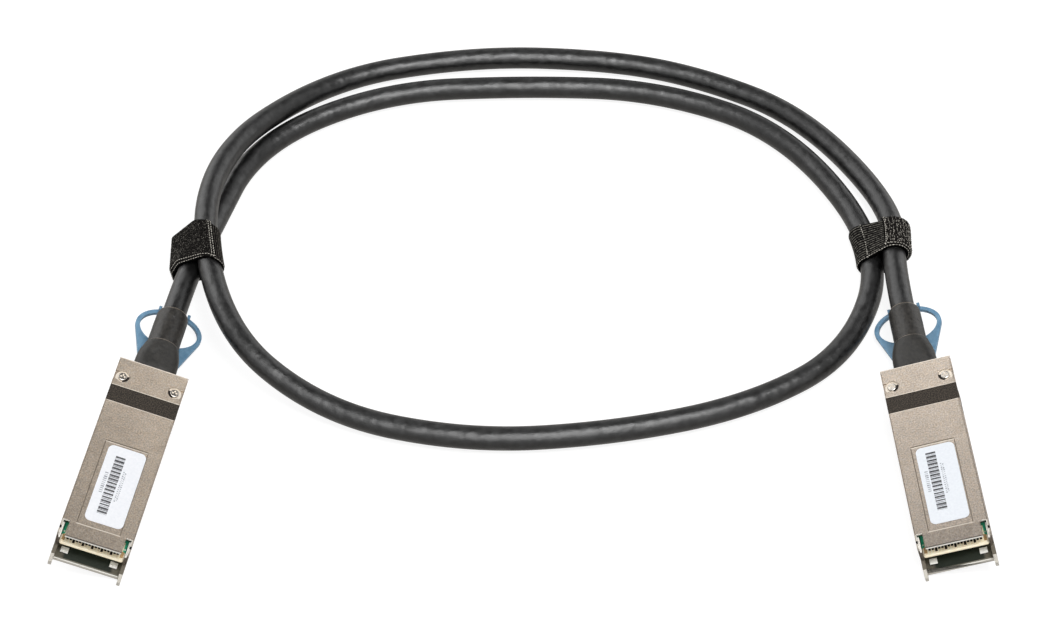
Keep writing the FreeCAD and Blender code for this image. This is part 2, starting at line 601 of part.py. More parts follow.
def cable(axis, start_direction):
    """The round cable, swept along its axis."""
    start = axis.Edges[0].Vertexes[0].Point
    section = Part.Wire(Part.makeCircle(CABLE_DIAMETER / 2, start, start_direction))
    return axis.makePipeShell([section], True, False)


def strands_across(axis_points, middle, across, along, reach):
    """Where the cable passes through an upright plane, as distance across from the middle and height."""
    found = []
    for a, b in zip(axis_points, axis_points[1:]):
        da = (a - middle).dot(along)
        db = (b - middle).dot(along)
        if da * db > 0 or da == db:
            continue
        crossing = a + (b - a) * (da / (da - db))
        offset = (crossing - middle).dot(across)
        if abs(offset) < reach:
            found.append((offset, crossing.z))
    return found


def strap_outline(rounds, grow, origin, across):
    """A strap pulled tight round a few circles: the hull's support point in each direction."""
    points = []
    for index in range(TIE_SIDES):
        angle = 2 * math.pi * index / TIE_SIDES
        u, w = math.cos(angle), math.sin(angle)
        best = max(rounds, key=lambda c: c[0] * u + c[1] * w + c[2])
        radius = best[2] + grow
        offset = best[0] + radius * u
        points.append(FreeCAD.Vector(origin.x + across.x * offset, origin.y + across.y * offset,
                                     max(best[1] + radius * w, SEAM)))
    return Part.makePolygon(points + [points[0]])


def tie(axis_points, middle, turn, slack):
    """A hook-and-loop strap round the strands that pass through its three planes."""
    angle = math.radians(turn)
    across = FreeCAD.Vector(math.cos(angle), -math.sin(angle), 0)
    along = FreeCAD.Vector(math.sin(angle), math.cos(angle), 0)
    outer = []
    inner = []
    for step in (-0.5, 0, 0.5):
        origin = FreeCAD.Vector(middle[0], middle[1], 0) + along * (TIE_WIDTH * step)
        rounds = [(x, z, CABLE_DIAMETER / 2 + TIE_GAP) for x, z in
                  strands_across(axis_points, origin, across, along, PLUG_WIDTH)]
        rounds += slack
        outer.append(strap_outline(rounds, TIE_THICKNESS, origin, across))
        inner.append(strap_outline(rounds, 0, origin, across))
    solid = Part.makeLoft(outer, True, True)
    return solid.cut(Part.makeLoft(inner, True, True))


def plug_placement(side):
    """Where a plug lies: leaning on its inner lower edge, head and nose both on the table."""
    end = PLUG_ENDS[side]
    lean = math.radians(abs(end["lean"]))
    pitch = math.atan2(HEAD_DROP * math.cos(lean), -tip_y - HEAD_LENGTH)
    turn = FreeCAD.Rotation(UP, end["yaw"]).multiply(FreeCAD.Rotation(ACROSS, math.degrees(pitch)))
    turn = turn.multiply(FreeCAD.Rotation(ALONG, end["lean"]))
    inner = math.copysign(half_width, end["lean"])
    heel = turn.multVec(FreeCAD.Vector(inner, tip_y, 0))
    return FreeCAD.Placement(FreeCAD.Vector(end["rear"][0], end["rear"][1], -heel.z), turn)


def export(shape, node):
    """Writes one node, after making sure that its solid is sound."""
    if not shape.isValid():
        raise RuntimeError("bad shape: " + node)
    shape.exportStep("parts/" + node + ".step")


for piece_name, make in PLUG_PIECES.items():
    piece = make()
    for side in PLUG_ENDS:
        placed = piece.copy()
        if piece_name == "label":
            placed.translate(ACROSS * PLUG_ENDS[side]["label_shift"])
        placed.Placement = plug_placement(side).multiply(placed.Placement)
        export(placed, side + "_" + piece_name)

ends = {}
for side in PLUG_ENDS:
    place = plug_placement(side)
    leave = place.multVec(FreeCAD.Vector(0, boot_end_y, BOOT_AXIS))
    ends[side] = (leave, place.Rotation.multVec(ALONG))
    print(side, "boot ends at", [round(v, 2) for v in leave], "pointing",
          [round(v, 4) for v in ends[side][1]])
route = [ends["left"][0], ends["left"][0] + ends["left"][1] * STRAIGHT_EXIT]
route += [FreeCAD.Vector(*p) for p in CABLE_ROUTE]
route += [ends["right"][0] + ends["right"][1] * STRAIGHT_EXIT, ends["right"][0]]
axis, radii = cable_axis(route)
tube = cable(axis, ends["left"][1])
section_area = math.pi * CABLE_DIAMETER ** 2 / 4
print("cable length", round(axis.Length, 1), "radii", [round(r, 1) for r in radii])
print("volume against section times length", round(tube.Volume / (section_area * axis.Length), 5))
export(tube, "cable")
axis_points = axis.discretize(Distance=1.0)
for tie_name, spec in TIES.items():
    export(tie(axis_points, spec["middle"], spec["turn"], spec["slack"]), tie_name)
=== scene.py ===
# %% [markdown]
# # A direct attach copper cable
# Two identical metal plugs share one stiff round cable. Each plug slides into a port on a switch or
# a server; a blue ring pulls its latch back. Two hook-and-loop ties hold the cable in a loop.
# The solid model is already fixed in place, so this lesson starts by loading it. Everything below is
# in metres and in the same frame, which is why nothing has to be fitted by eye.

# %% The fixed frame
import math
import random
import bmesh
import bpy
from mathutils import Euler, Matrix, Vector


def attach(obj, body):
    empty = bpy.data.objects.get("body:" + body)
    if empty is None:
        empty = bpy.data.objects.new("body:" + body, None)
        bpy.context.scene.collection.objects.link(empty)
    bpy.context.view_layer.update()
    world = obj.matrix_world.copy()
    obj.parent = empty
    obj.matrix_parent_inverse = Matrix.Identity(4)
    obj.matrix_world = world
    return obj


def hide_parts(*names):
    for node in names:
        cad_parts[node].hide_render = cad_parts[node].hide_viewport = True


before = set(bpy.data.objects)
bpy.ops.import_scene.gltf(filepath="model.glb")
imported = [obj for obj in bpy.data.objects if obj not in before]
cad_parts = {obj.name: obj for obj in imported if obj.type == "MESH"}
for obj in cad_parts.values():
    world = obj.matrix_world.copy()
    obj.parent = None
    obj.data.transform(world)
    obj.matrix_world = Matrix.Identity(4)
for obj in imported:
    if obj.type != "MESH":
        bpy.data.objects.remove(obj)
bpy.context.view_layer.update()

MM = 0.001
ROOT = "cable_assembly"


def linked(name, data):
    """A new object in the scene."""
    made = bpy.data.objects.new(name, data)
    bpy.context.scene.collection.objects.link(made)
    return made


# %% [markdown]
# ## The camera
# A product picture is taken from well above and from some distance, so that the loop shows its
# oval and the plugs keep their proportions. A long lens could be faked with an orthographic camera,
# but the slight perspective makes the near plugs larger than the far arc, as the eye expects.

# %% The camera
VIEW_TARGET = Vector((0.00006, 0.04411, 0.0))
VIEW_HEIGHT = math.radians(50.0)
VIEW_DISTANCE = 0.654
LENS = 83.38

camera_data = bpy.data.cameras.new("studio_camera")
camera_data.lens = LENS
camera = linked("studio_camera", camera_data)
away = Vector((0.0, -math.cos(VIEW_HEIGHT), math.sin(VIEW_HEIGHT)))
camera.location = VIEW_TARGET + away * VIEW_DISTANCE
camera.rotation_euler = (-away).to_track_quat("-Z", "Y").to_euler()
bpy.context.scene.camera = camera
bpy.context.scene.view_settings.view_transform = "Standard"
print("camera at", [round(v, 4) for v in camera.location])

# %% [markdown]
# ## Small helpers for materials
# A finish is a shader whose colour, roughness and bump come from procedural patterns. The same few
# nodes are needed every time, so each gets one short function. A helper takes either a plain value
# or another node's output, and finds the node tree from that output, which keeps the finishes below
# readable.

# %% Helpers for materials
def seen(red, green, blue):
    """A colour as it looks on a screen, from 0 to 255, as the linear values that shaders use."""
    parts = [v / 255 for v in (red, green, blue)]
    return (*[v / 12.92 if v <= 0.04 else ((v + 0.055) / 1.055) ** 2.4 for v in parts], 1.0)


def feed(tree, value, socket):
    """Gives a socket a plain value, or joins it to an output."""
    if isinstance(value, bpy.types.NodeSocket):
        tree.links.new(value, socket)
    else:
        socket.default_value = value


def node(tree, kind, settings=(), **inputs):
    """A new node with its settings and inputs."""
    made = tree.nodes.new(kind)
    for name, value in dict(settings).items():
        setattr(made, name, value)
    for name, value in inputs.items():
        feed(tree, value, made.inputs[name.replace("_", " ")])
    return made


def join(kind, settings, *values):
    """A node whose first inputs get these values, in the tree of the first output among them."""
    tree = next(v.id_data for v in values if isinstance(v, bpy.types.NodeSocket))
    made = node(tree, kind, settings)
    for value, socket in zip(values, made.inputs):
        feed(tree, value, socket)
    return made


def maths(operation, a, b=0.0):
    return join("ShaderNodeMath", {"operation": operation}, a, b).outputs[0]


def noise(where, scale, detail=3.0):
    return node(where.id_data, "ShaderNodeTexNoise", Vector=where, Scale=scale,
                Detail=detail).outputs["Fac"]


def remap(value, low, high, new_low, new_high):
    return join("ShaderNodeMapRange", (), value, low, high, new_low, new_high).outputs[0]


def both(*shares):
    """The product of several values: 1 only where every one of them is 1."""
    joined = shares[0]
    for share in shares[1:]:
        joined = maths("MULTIPLY", joined, share)
    return joined


def swing(field, low, high):
    """A noise as a value that swings between two limits."""
    return remap(field, 0.3, 0.7, low, high)


def wave(value, length):
    """A sine wave of a certain length along a direction."""
    return maths("SINE", maths("MULTIPLY", value, 2 * math.pi / length))


def mixed(share, first, second):
    """Two colours mixed by a share from 0 to 1."""
    tree = share.id_data
    made = node(tree, "ShaderNodeMix", {"data_type": "RGBA"})
    for socket, value in ((0, share), (6, first), (7, second)):
        feed(tree, value, made.inputs[socket])
    return made.outputs[2]


def toned(field, dark, light, low=0.3, high=0.7):
    """Two colours mixed by a noise."""
    return mixed(remap(field, low, high, 0.0, 1.0), dark, light)


def bump(height, distance, strength=1.0, under=None):
    """A relief, which may lie on another one."""
    below = {} if under is None else {"Normal": under}
    return node(height.id_data, "ShaderNodeBump", Height=height, Distance=distance,
                Strength=strength, **below).outputs[0]


def scaled(vector, factor):
    """A vector or a colour times a number."""
    tree = vector.id_data
    made = node(tree, "ShaderNodeVectorMath", {"operation": "SCALE"}, Scale=factor)
    feed(tree, vector, made.inputs[0])
    return made.outputs[0]


def axes(where):
    """A position taken apart into its three numbers."""
    return tuple(join("ShaderNodeSeparateXYZ", (), where).outputs)


def blank_finish(name, metallic=0.0, specular=0.5):
    """A new material with its tree and its shader."""
    made = bpy.data.materials.new(name)
    made.use_nodes = True
    tree = made.node_tree
    shader = next(n for n in tree.nodes if n.type == "BSDF_PRINCIPLED")
    shader.inputs["Metallic"].default_value = metallic
    shader.inputs["Specular IOR Level"].default_value = specular
    return made, tree, shader


def paint(tree, shader, colour, roughness, normal=None):
    feed(tree, colour, shader.inputs["Base Color"])
    feed(tree, roughness, shader.inputs["Roughness"])
    if normal is not None:
        feed(tree, normal, shader.inputs["Normal"])


def on_object(tree):
    """The position on the object itself, in metres."""
    return node(tree, "ShaderNodeTexCoord").outputs["Object"]


def two_toned(name, scale, detail, dark, light, rough, relief=None, spread=(0.3, 0.7),
              specular=0.5):
    """A finish from one noise: it mixes two tones, and may drive the roughness and the relief."""
    made, tree, shader = blank_finish(name, specular=specular)
    field = noise(on_object(tree), scale, detail)
    if isinstance(rough, tuple):
        rough = swing(field, *rough)
    paint(tree, shader, toned(field, dark, light, *spread), rough,
          bump(field, *relief) if relief else None)
    return made


print("helpers ready")

# %% [markdown]
# ## Floor, world and lamps
# The object stands on a plain white table in a bright room. A pure white ground could come from
# very strong lamps, but then every pale surface burns out. Here the floor and the world simply look
# white to the camera, while the light that reaches the object stays moderate. What the black cable
# mirrors matters as much: a bright canopy above the viewer and two panes of light at the far sides
# draw soft streaks along it, a grey wall in front lifts its near side, and a dim one leaves the rest
# dark.

# %% Floor, world and lamps
def looked_at(tree):
    """1 for rays that come straight from the camera or through a clear material."""
    path = node(tree, "ShaderNodeLightPath").outputs
    return maths("MAXIMUM", path["Is Camera Ray"], path["Is Transmission Ray"])


def reflected(tree):
    return node(tree, "ShaderNodeLightPath").outputs["Is Glossy Ray"]


WORLD_LIGHT = 0.5
# Each patch of light: its direction, the cosines where it begins and is full, and its strength.
PATCHES = (((0.04, -0.48, 0.87), 0.84, 0.98, 5.0), ((-0.60, 0.63, 0.50), 0.80, 0.96, 1.9),
           ((0.74, 0.62, 0.27), 0.80, 0.96, 1.4))
world = bpy.data.worlds.new("bright_room")
world.use_nodes = True
world_tree = world.node_tree
backdrop = next(n for n in world_tree.nodes if n.type == "BACKGROUND")
backdrop.inputs["Color"].default_value = (1.0, 1.0, 1.0, 1.0)
ray = node(world_tree, "ShaderNodeTexCoord").outputs["Generated"]


def bright_patch(direction, outer, inner, strength):
    """A soft round patch of light in a direction of the sky."""
    toward = join("ShaderNodeVectorMath", {"operation": "DOT_PRODUCT"}, ray,
                  Vector(direction).normalized())
    return join("ShaderNodeMapRange", {"interpolation_type": "SMOOTHSTEP"},
                toward.outputs["Value"], outer, inner, 0.0, strength).outputs[0]


bright = bright_patch(*PATCHES[0])
for patch in PATCHES[1:]:
    bright = maths("ADD", bright, bright_patch(*patch))
_, ray_depth, ray_height = axes(ray)
near_wall = remap(ray_depth, 0.05, -0.45, 0.22, 1.0)
horizon = remap(ray_height, 0.4, 0.1, 0.0, 0.9)
mirrored = maths("ADD", bright, maths("MAXIMUM", near_wall, horizon))
plain = remap(looked_at(world_tree), 0.0, 1.0, WORLD_LIGHT, 1.0)
mirror = reflected(world_tree)
strength = maths("ADD", both(mirrored, mirror),
                 both(plain, maths("SUBTRACT", 1.0, mirror)))
feed(world_tree, strength, backdrop.inputs["Strength"])
bpy.context.scene.world = world

table_finish = bpy.data.materials.new("white_table")
table_finish.use_nodes = True
table_tree = table_finish.node_tree
table_tree.nodes.clear()
lit, shown = [node(table_tree, "ShaderNodeBsdfDiffuse", Color=(grey, grey, grey, 1.0)).outputs[0]
              for grey in (0.8, 0.28)]
glow, dim = [node(table_tree, "ShaderNodeEmission", Color=colour, Strength=power).outputs[0]
             for colour, power in (((1.0, 1.0, 1.0, 1.0), 0.86), ((1.0, 0.97, 0.93, 1.0), 0.7))]
unseen = join("ShaderNodeMixShader", (), reflected(table_tree), lit, dim).outputs[0]
white = join("ShaderNodeAddShader", (), shown, glow).outputs[0]
join("ShaderNodeOutputMaterial", (),
     join("ShaderNodeMixShader", (), looked_at(table_tree), unseen, white).outputs[0])

table_mesh = bpy.data.meshes.new("table")
table_mesh.from_pydata([(-4, -4, 0), (4, -4, 0), (4, 4, 0), (-4, 4, 0)], [], [(0, 1, 2, 3)])
table_mesh.materials.append(table_finish)
table = linked("table", table_mesh)


def soft_box(name, place, size, power):
    """A square lamp that looks at the middle of the loop."""
    lamp = bpy.data.lights.new(name, "AREA")
    lamp.size = size
    lamp.energy = power
    holder = linked(name, lamp)
    holder.location = place
    holder.rotation_euler = (VIEW_TARGET - Vector(place)).to_track_quat("-Z", "Y").to_euler()


soft_box("upper_soft_box", (0.15, -0.08, 0.60), 0.28, 2.0)
soft_box("side_soft_box", (-0.60, 0.25, 0.55), 0.50, 1.4)
print("lamps ready")

# %% [markdown]
# ## How the plugs lie
# The plugs are not square to the table: the stiff cable turns each one a little about its own length.
# A plug's parts are easier to draw in the plug's own frame, with x across, y towards the cable and z
# up through the label, in millimetres. One matrix per plug then carries them to their place.

# %% How the plugs lie
PLUG_HALF_WIDTH = 9.175
PLUG_TOP = 8.5
NOSE_TIP = -58.8
HEAD_LENGTH = 8.6
HEAD_DROP = 2.2
BOOT_AXIS = 3.6
PLUGS = {
    "left": {"rear": (-97.44, 16.51), "yaw": -10.7, "lean": 17.0, "label_shift": 0.6,
             "print_at": (-0.57, -28.4)},
    "right": {"rear": (103.53, 17.73), "yaw": 4.6, "lean": -17.0, "label_shift": 0.3,
              "print_at": (-1.03, -27.4)},
}


def plug_matrix(plug):
    """From the plug's own millimetres to metres in the shared frame."""
    lean = math.radians(plug["lean"])
    pitch = math.atan2(HEAD_DROP * math.cos(lean), -NOSE_TIP - HEAD_LENGTH)
    turn = Matrix.Rotation(math.radians(plug["yaw"]), 4, "Z") @ Matrix.Rotation(pitch, 4, "X")
    turn = turn @ Matrix.Rotation(lean, 4, "Y")
    heel = turn @ Vector((math.copysign(PLUG_HALF_WIDTH, lean), NOSE_TIP, 0.0))
    return Matrix.Translation(Vector((*plug["rear"], -heel.z)) * MM) @ turn @ Matrix.Scale(MM, 4)


place = {side: plug_matrix(plug) for side, plug in PLUGS.items()}
for side in PLUGS:
    print(side, "rear face middle in mm:", [round(v / MM, 2) for v in place[side].translation])


def on_plug(tree, side):
    """The position in the plug's own frame, in metres, for patterns that follow the plug."""
    bare = place[side].to_quaternion().to_euler()
    return node(tree, "ShaderNodeMapping", {"vector_type": "TEXTURE"}, Vector=on_object(tree),
                Location=place[side].translation, Rotation=bare).outputs[0]


# %% [markdown]
# ## Making pieces
# A piece is a mesh object whose own origin is the frame's origin. Its place is in its points, as it
# is in the solid model. This cell has the helpers that put a mesh into the scene, make it follow a
# moving body, and say which solid it stands for.

# %% Helpers for pieces
SAME_POINT = 2e-6
FLAT_ENOUGH = math.radians(2)
SHARP_EDGE = math.radians(32)
CREASE = math.radians(40)


def piece(name, mesh, body, finish, stands_for=()):
    """Puts a finished mesh into the scene as a piece that rides on a body."""
    made = linked(name, mesh)
    if finish is not None:
        mesh.materials.clear()
        mesh.materials.append(finish)
    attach(made, body)
    if stands_for:
        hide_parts(*stands_for)
    return made


def plug_piece(side, part, mesh, finish, solid=None):
    """A piece that stays on a plug, and may stand for one of its solids."""
    piece(side + "_" + part, mesh, ROOT, finish, (side + "_" + solid,) if solid else ())


def dressed(side, part, finish):
    """Gives a solid of the model its finish."""
    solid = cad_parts[side + "_" + part]
    solid.data.materials.clear()
    solid.data.materials.append(finish)


def finished(work, name):
    """Turns points and faces that are ready into a plain mesh."""
    mesh = bpy.data.meshes.new(name)
    work.to_mesh(mesh)
    work.free()
    return mesh


def evaluated_mesh(holder):
    """The mesh that an object's modifiers make, as a plain mesh. The object isn't kept."""
    depsgraph = bpy.context.evaluated_depsgraph_get()
    made = bpy.data.meshes.new_from_object(holder.evaluated_get(depsgraph))
    bpy.data.objects.remove(holder)
    return made


def eased_copy(side, part, width, steps, smooth, reshape=None, cuts=()):
    """A copy of a solid with its sharp edges rounded, as casting, tumbling or moulding leaves them.

    It may be cut across at places along the plug, and its points moved a little, before that."""
    work = bmesh.new()
    work.from_mesh(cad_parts[side + "_" + part].data)
    bmesh.ops.remove_doubles(work, verts=work.verts, dist=SAME_POINT)
    bmesh.ops.dissolve_limit(work, angle_limit=FLAT_ENOUGH, verts=work.verts, edges=work.edges)
    if reshape is not None:
        work.transform(place[side].inverted())
        for cut in cuts:
            bmesh.ops.bisect_plane(work, geom=work.verts[:] + work.edges[:] + work.faces[:],
                                   plane_co=(0, cut, 0), plane_no=(0, 1, 0))
        for vert in work.verts:
            reshape(vert.co)
        work.transform(place[side])
    holder = linked("eased", finished(work, part))
    ease = holder.modifiers.new("ease", "BEVEL")
    ease.width = width * MM
    ease.segments = steps
    ease.limit_method = "ANGLE"
    ease.angle_limit = SHARP_EDGE
    ease.use_clamp_overlap = True
    made = evaluated_mesh(holder)
    made.polygons.foreach_set("use_smooth", [smooth] * len(made.polygons))
    if smooth:
        made.set_sharp_from_angle(angle=CREASE)
    return made


print("piece helpers ready")

# %% [markdown]
# ## Repeats with Geometry Nodes
# Contacts, stitches, hooks and printed bars repeat hundreds of times. A loop in Python could copy
# them one by one, but a node tree states the rule once and takes its sizes as inputs. Each tree below
# ends by making its instances real and giving them a finish, and the result is kept as a plain mesh.

# %% Helpers for node trees
def new_tree(name, wanted):
    """An empty tree with a geometry input, named inputs and a geometry output."""
    tree = bpy.data.node_groups.new(name, "GeometryNodeTree")
    tree.interface.new_socket("Geometry", in_out="INPUT", socket_type="NodeSocketGeometry")
    for label, kind in wanted.items():
        tree.interface.new_socket(label, in_out="INPUT", socket_type="NodeSocket" + kind)
    tree.interface.new_socket("Geometry", in_out="OUTPUT", socket_type="NodeSocketGeometry")
    return tree, tree.nodes.new("NodeGroupInput").outputs, tree.nodes.new("NodeGroupOutput")


def end_tree(tree, instances, finish, group_output):
    """Makes the instances real, gives them their finish and sends them out."""
    real = node(tree, "GeometryNodeRealizeInstances", Geometry=instances.outputs[0])
    painted = node(tree, "GeometryNodeSetMaterial", Geometry=real.outputs[0], Material=finish)
    tree.links.new(painted.outputs[0], group_output.inputs[0])
    return tree


def set_on(tree, points, shape, **how):
    """Sets a shape on every point."""
    return node(tree, "GeometryNodeInstanceOnPoints", Points=points, Instance=shape.outputs[0],
                **how)


def random_share(tree, low, high, seed):
    """A random number between two limits, with its own value for each instance."""
    made = node(tree, "FunctionNodeRandomValue", {"data_type": "FLOAT"}, Seed=seed)
    for socket, value in zip([s for s in made.inputs if s.type == "VALUE"], (low, high)):
        feed(tree, value, socket)
    return next(s for s in made.outputs if s.type == "VALUE")


def grown(tree, start_mesh, **values):
    """Runs a tree on a mesh with the given inputs and returns the plain mesh that it makes."""
    holder = linked(tree.name, start_mesh)
    modifier = holder.modifiers.new(tree.name, "NODES")
    modifier.node_group = tree
    for socket in tree.interface.items_tree:
        key = socket.name.replace(" ", "_")
        if socket.in_out == "INPUT" and key in values:
            modifier[socket.identifier] = values[key]
    return evaluated_mesh(holder)


def line_mesh(name, runs):
    """Open lines through lists of points."""
    points = []
    edges = []
    for run in runs:
        edges += [(i, i + 1) for i in range(len(points), len(points) + len(run) - 1)]
        points += [tuple(p) for p in run]
    mesh = bpy.data.meshes.new(name)
    mesh.from_pydata(points, edges, [])
    return mesh


print("tree helpers ready")

# %% [markdown]
# ## The cable
# The cable is about 830 mm of stiff round cable, 6.3 mm thick, with eight screened pairs inside. It
# leaves one plug, makes a turn and a half and goes into the other plug. A NURBS curve suits it: the
# control points pull the line along, as a stiff cable bends, and never make a kink.

# %% The cable
CABLE_DIAMETER = 0.0063
CABLE_ROUTE = [
    (-0.0926, 0.0363, 0.00944), (-0.0898, 0.0515, 0.01009), (-0.0871, 0.0701, 0.00315),
    (-0.0765, 0.1055, 0.00315), (-0.0409, 0.1266, 0.00315), (0.0016, 0.1291, 0.00315),
    (0.0394, 0.1272, 0.00315), (0.0758, 0.1101, 0.00315), (0.0991, 0.0648, 0.00315),
    (0.0868, 0.0288, 0.00315), (0.0587, 0.0109, 0.00315), (0.0227, 0.0021, 0.00315),
    (-0.0146, -0.0005, 0.00315), (-0.0527, 0.0091, 0.00315), (-0.0810, 0.0312, 0.01280),
    (-0.0899, 0.0882, 0.01280), (-0.0579, 0.1317, 0.00315), (-0.0143, 0.1415, 0.00315),
    (0.0239, 0.1399, 0.00315), (0.0506, 0.1332, 0.00315), (0.0805, 0.1168, 0.00315),
    (0.1028, 0.0805, 0.00365), (0.0996, 0.0534, 0.01009), (0.1008, 0.0379, 0.00944),
]


def cable_curve(name, radius):
    """The route as one smooth spline, with or without thickness."""
    data = bpy.data.curves.new(name, "CURVE")
    data.dimensions = "3D"
    spline = data.splines.new("NURBS")
    spline.points.add(len(CABLE_ROUTE) - 1)
    for point, corner in zip(spline.points, CABLE_ROUTE):
        point.co = (*corner, 1.0)
    spline.order_u = 3
    spline.use_endpoint_u = True
    spline.resolution_u = 24
    data.bevel_depth = radius
    data.bevel_resolution = 8
    return linked(name, data)


bare_line = cable_curve("cable_line", 0.0)
line_points = [v.co.copy() for v in bpy.data.meshes.new_from_object(bare_line).vertices]
bpy.data.objects.remove(bare_line)

# %% [markdown]
# ## The cable's jacket
# The jacket is extruded black compound. It is a neutral, nearly black grey, its sheen is broad and
# soft, and faint dents from the pairs inside make the sheen uneven. Noise at three sizes gives that:
# slow waves for the dents, mid-sized clouds for rubbed patches, and a fine grain.

# %% The jacket's finish
jacket_finish, tree, shader = blank_finish("jacket_compound", specular=0.55)
spot = on_object(tree)
dents = noise(spot, 190.0, 2.0)
clouds = noise(spot, 520.0, 4.0)
grain = noise(spot, 4200.0, 2.0)
relief = bump(grain, 0.00008, 0.5, bump(dents, 0.0011, 0.5))
paint(tree, shader, toned(clouds, seen(14, 14, 14), seen(28, 28, 28), 0.35, 0.7),
      swing(clouds, 0.29, 0.42), relief)

cable = cable_curve("cable_jacket", CABLE_DIAMETER / 2)
cable.data.materials.append(jacket_finish)
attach(cable, ROOT)
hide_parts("cable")
print("jacket finished")

# %% [markdown]
# ## Where the ties go
# Each tie is a strip of hook-and-loop tape, 12 mm wide, pulled round the strands that pass through it.
# Tape under tension takes the shortest way round, so its path in every slice is the outline that a
# rubber band would take. The strands' places are read from the cable's own line.

# %% The path of a tie
TIE_WIDTH = 12.0
TIES = {
    "left": {"middle": (-87.5, 58.0), "turn": 12.0,
             "slack": [(-6.9, 6.6, 0.45, -0.25), (-6.3, 3.0, 0.45, -0.2)]},
    "right": {"middle": (97.6, 65.0), "turn": 2.5, "slack": []},
}
TIE_REACH = 18.0
TIE_GAP = 0.25
TABLE_GAP = 0.08
AROUND = 360


def tie_axes(tie):
    """The directions across and along the strands at a tie."""
    c, s = math.cos(math.radians(tie["turn"])), math.sin(math.radians(tie["turn"]))
    return Vector((c, -s, 0.0)), Vector((s, c, 0.0))


def strands_at(origin, across, along):
    """Where the cable passes through an upright slice: distance across and height, in millimetres."""
    found = []
    for a, b in zip(line_points, line_points[1:]):
        da = (a / MM - origin).dot(along)
        db = (b / MM - origin).dot(along)
        if da * db > 0 or da == db:
            continue
        crossing = (a + (b - a) * (da / (da - db))) / MM
        if abs((crossing - origin).dot(across)) < TIE_REACH:
            found.append(((crossing - origin).dot(across), crossing.z))
    return found


def tape_outline(tie, step, clear):
    """The tape's closed path in one slice, evenly spaced, as (across, height) from the right side on.

    The path keeps clear of the strands, of the places where the tape is slack, and of the table."""
    across, along = tie_axes(tie)
    origin = Vector((*tie["middle"], 0.0)) + along * step
    strand = CABLE_DIAMETER / MM / 2 + TIE_GAP
    rounds = [(x, z, strand) for x, z in strands_at(origin, across, along)]
    rounds += [(x + lean * step, z, radius) for x, z, radius, lean in tie["slack"]]
    corners = []
    for index in range(AROUND):
        u = math.cos(2 * math.pi * index / AROUND)
        w = math.sin(2 * math.pi * index / AROUND)
        x, z, radius = max(rounds, key=lambda c: c[0] * u + c[1] * w + c[2])
        corners.append((x + (radius + clear) * u, max(z + (radius + clear) * w, TABLE_GAP)))
    corners.append(corners[0])
    lengths = [math.dist(a, b) for a, b in zip(corners, corners[1:])]
    total = sum(lengths)
    even = []
    index = 0
    passed = 0.0
    for count in range(AROUND):
        target = total * count / AROUND
        while passed + lengths[index] < target:
            passed += lengths[index]
            index += 1
        share = (target - passed) / max(lengths[index], 1e-9)
        even.append(tuple(p + (q - p) * share for p, q in zip(corners[index], corners[index + 1])))
    return even, total


for side, tie in TIES.items():
    outline, around = tape_outline(tie, 0.0, 0.0)
    widths, heights = zip(*outline)
    print(side, "tape goes round in mm:", round(around, 1), "from", round(min(widths), 1), "to",
          round(max(widths), 1), "top", round(max(heights), 1))

# %% [markdown]
# ## The tape's layers
# The tape lies round the strands once, and its free end overlaps the first layer and grips it. Each
# layer is a thin shell with a soft edge: near its two long edges it gets thinner, as a woven selvage
# does. Both layers come from the same paths, a little further out for the second one.

# %% Building a layer of tape
STATIONS = [-6.0, -5.85, -5.5, -4.5, -3.0, -1.5, 0.0, 1.5, 3.0, 4.5, 5.5, 5.85, 6.0]
THINNING = {-6.0: 0.3, -5.85: 0.75, 5.85: 0.75, 6.0: 0.3}


def tape_rows(tie, clear, first, last, slides=(0.0, 0.0), lifts=(0.0, 0.0)):
    """Rows of points along one face of the tape, for places first to last round the outline.

    Slides shift the two ends sideways, and lifts raise them off the layer below."""
    across, along = tie_axes(tie)
    rows = []
    for step in STATIONS:
        outline, _ = tape_outline(tie, step, clear * THINNING.get(step, 1.0))
        row = []
        for index in range(first, last + 1):
            share = (index - first) / max(last - first, 1)
            x, z = outline[index % AROUND]
            z += lifts[0] * max(0.0, 1 - share * 7) ** 2 + lifts[1] * max(0.0, share * 7 - 6) ** 2
            moved = step + slides[0] * (1 - share) + slides[1] * share
            row.append((Vector((*tie["middle"], z)) + along * moved + across * x) * MM)
        rows.append(row)
    return rows


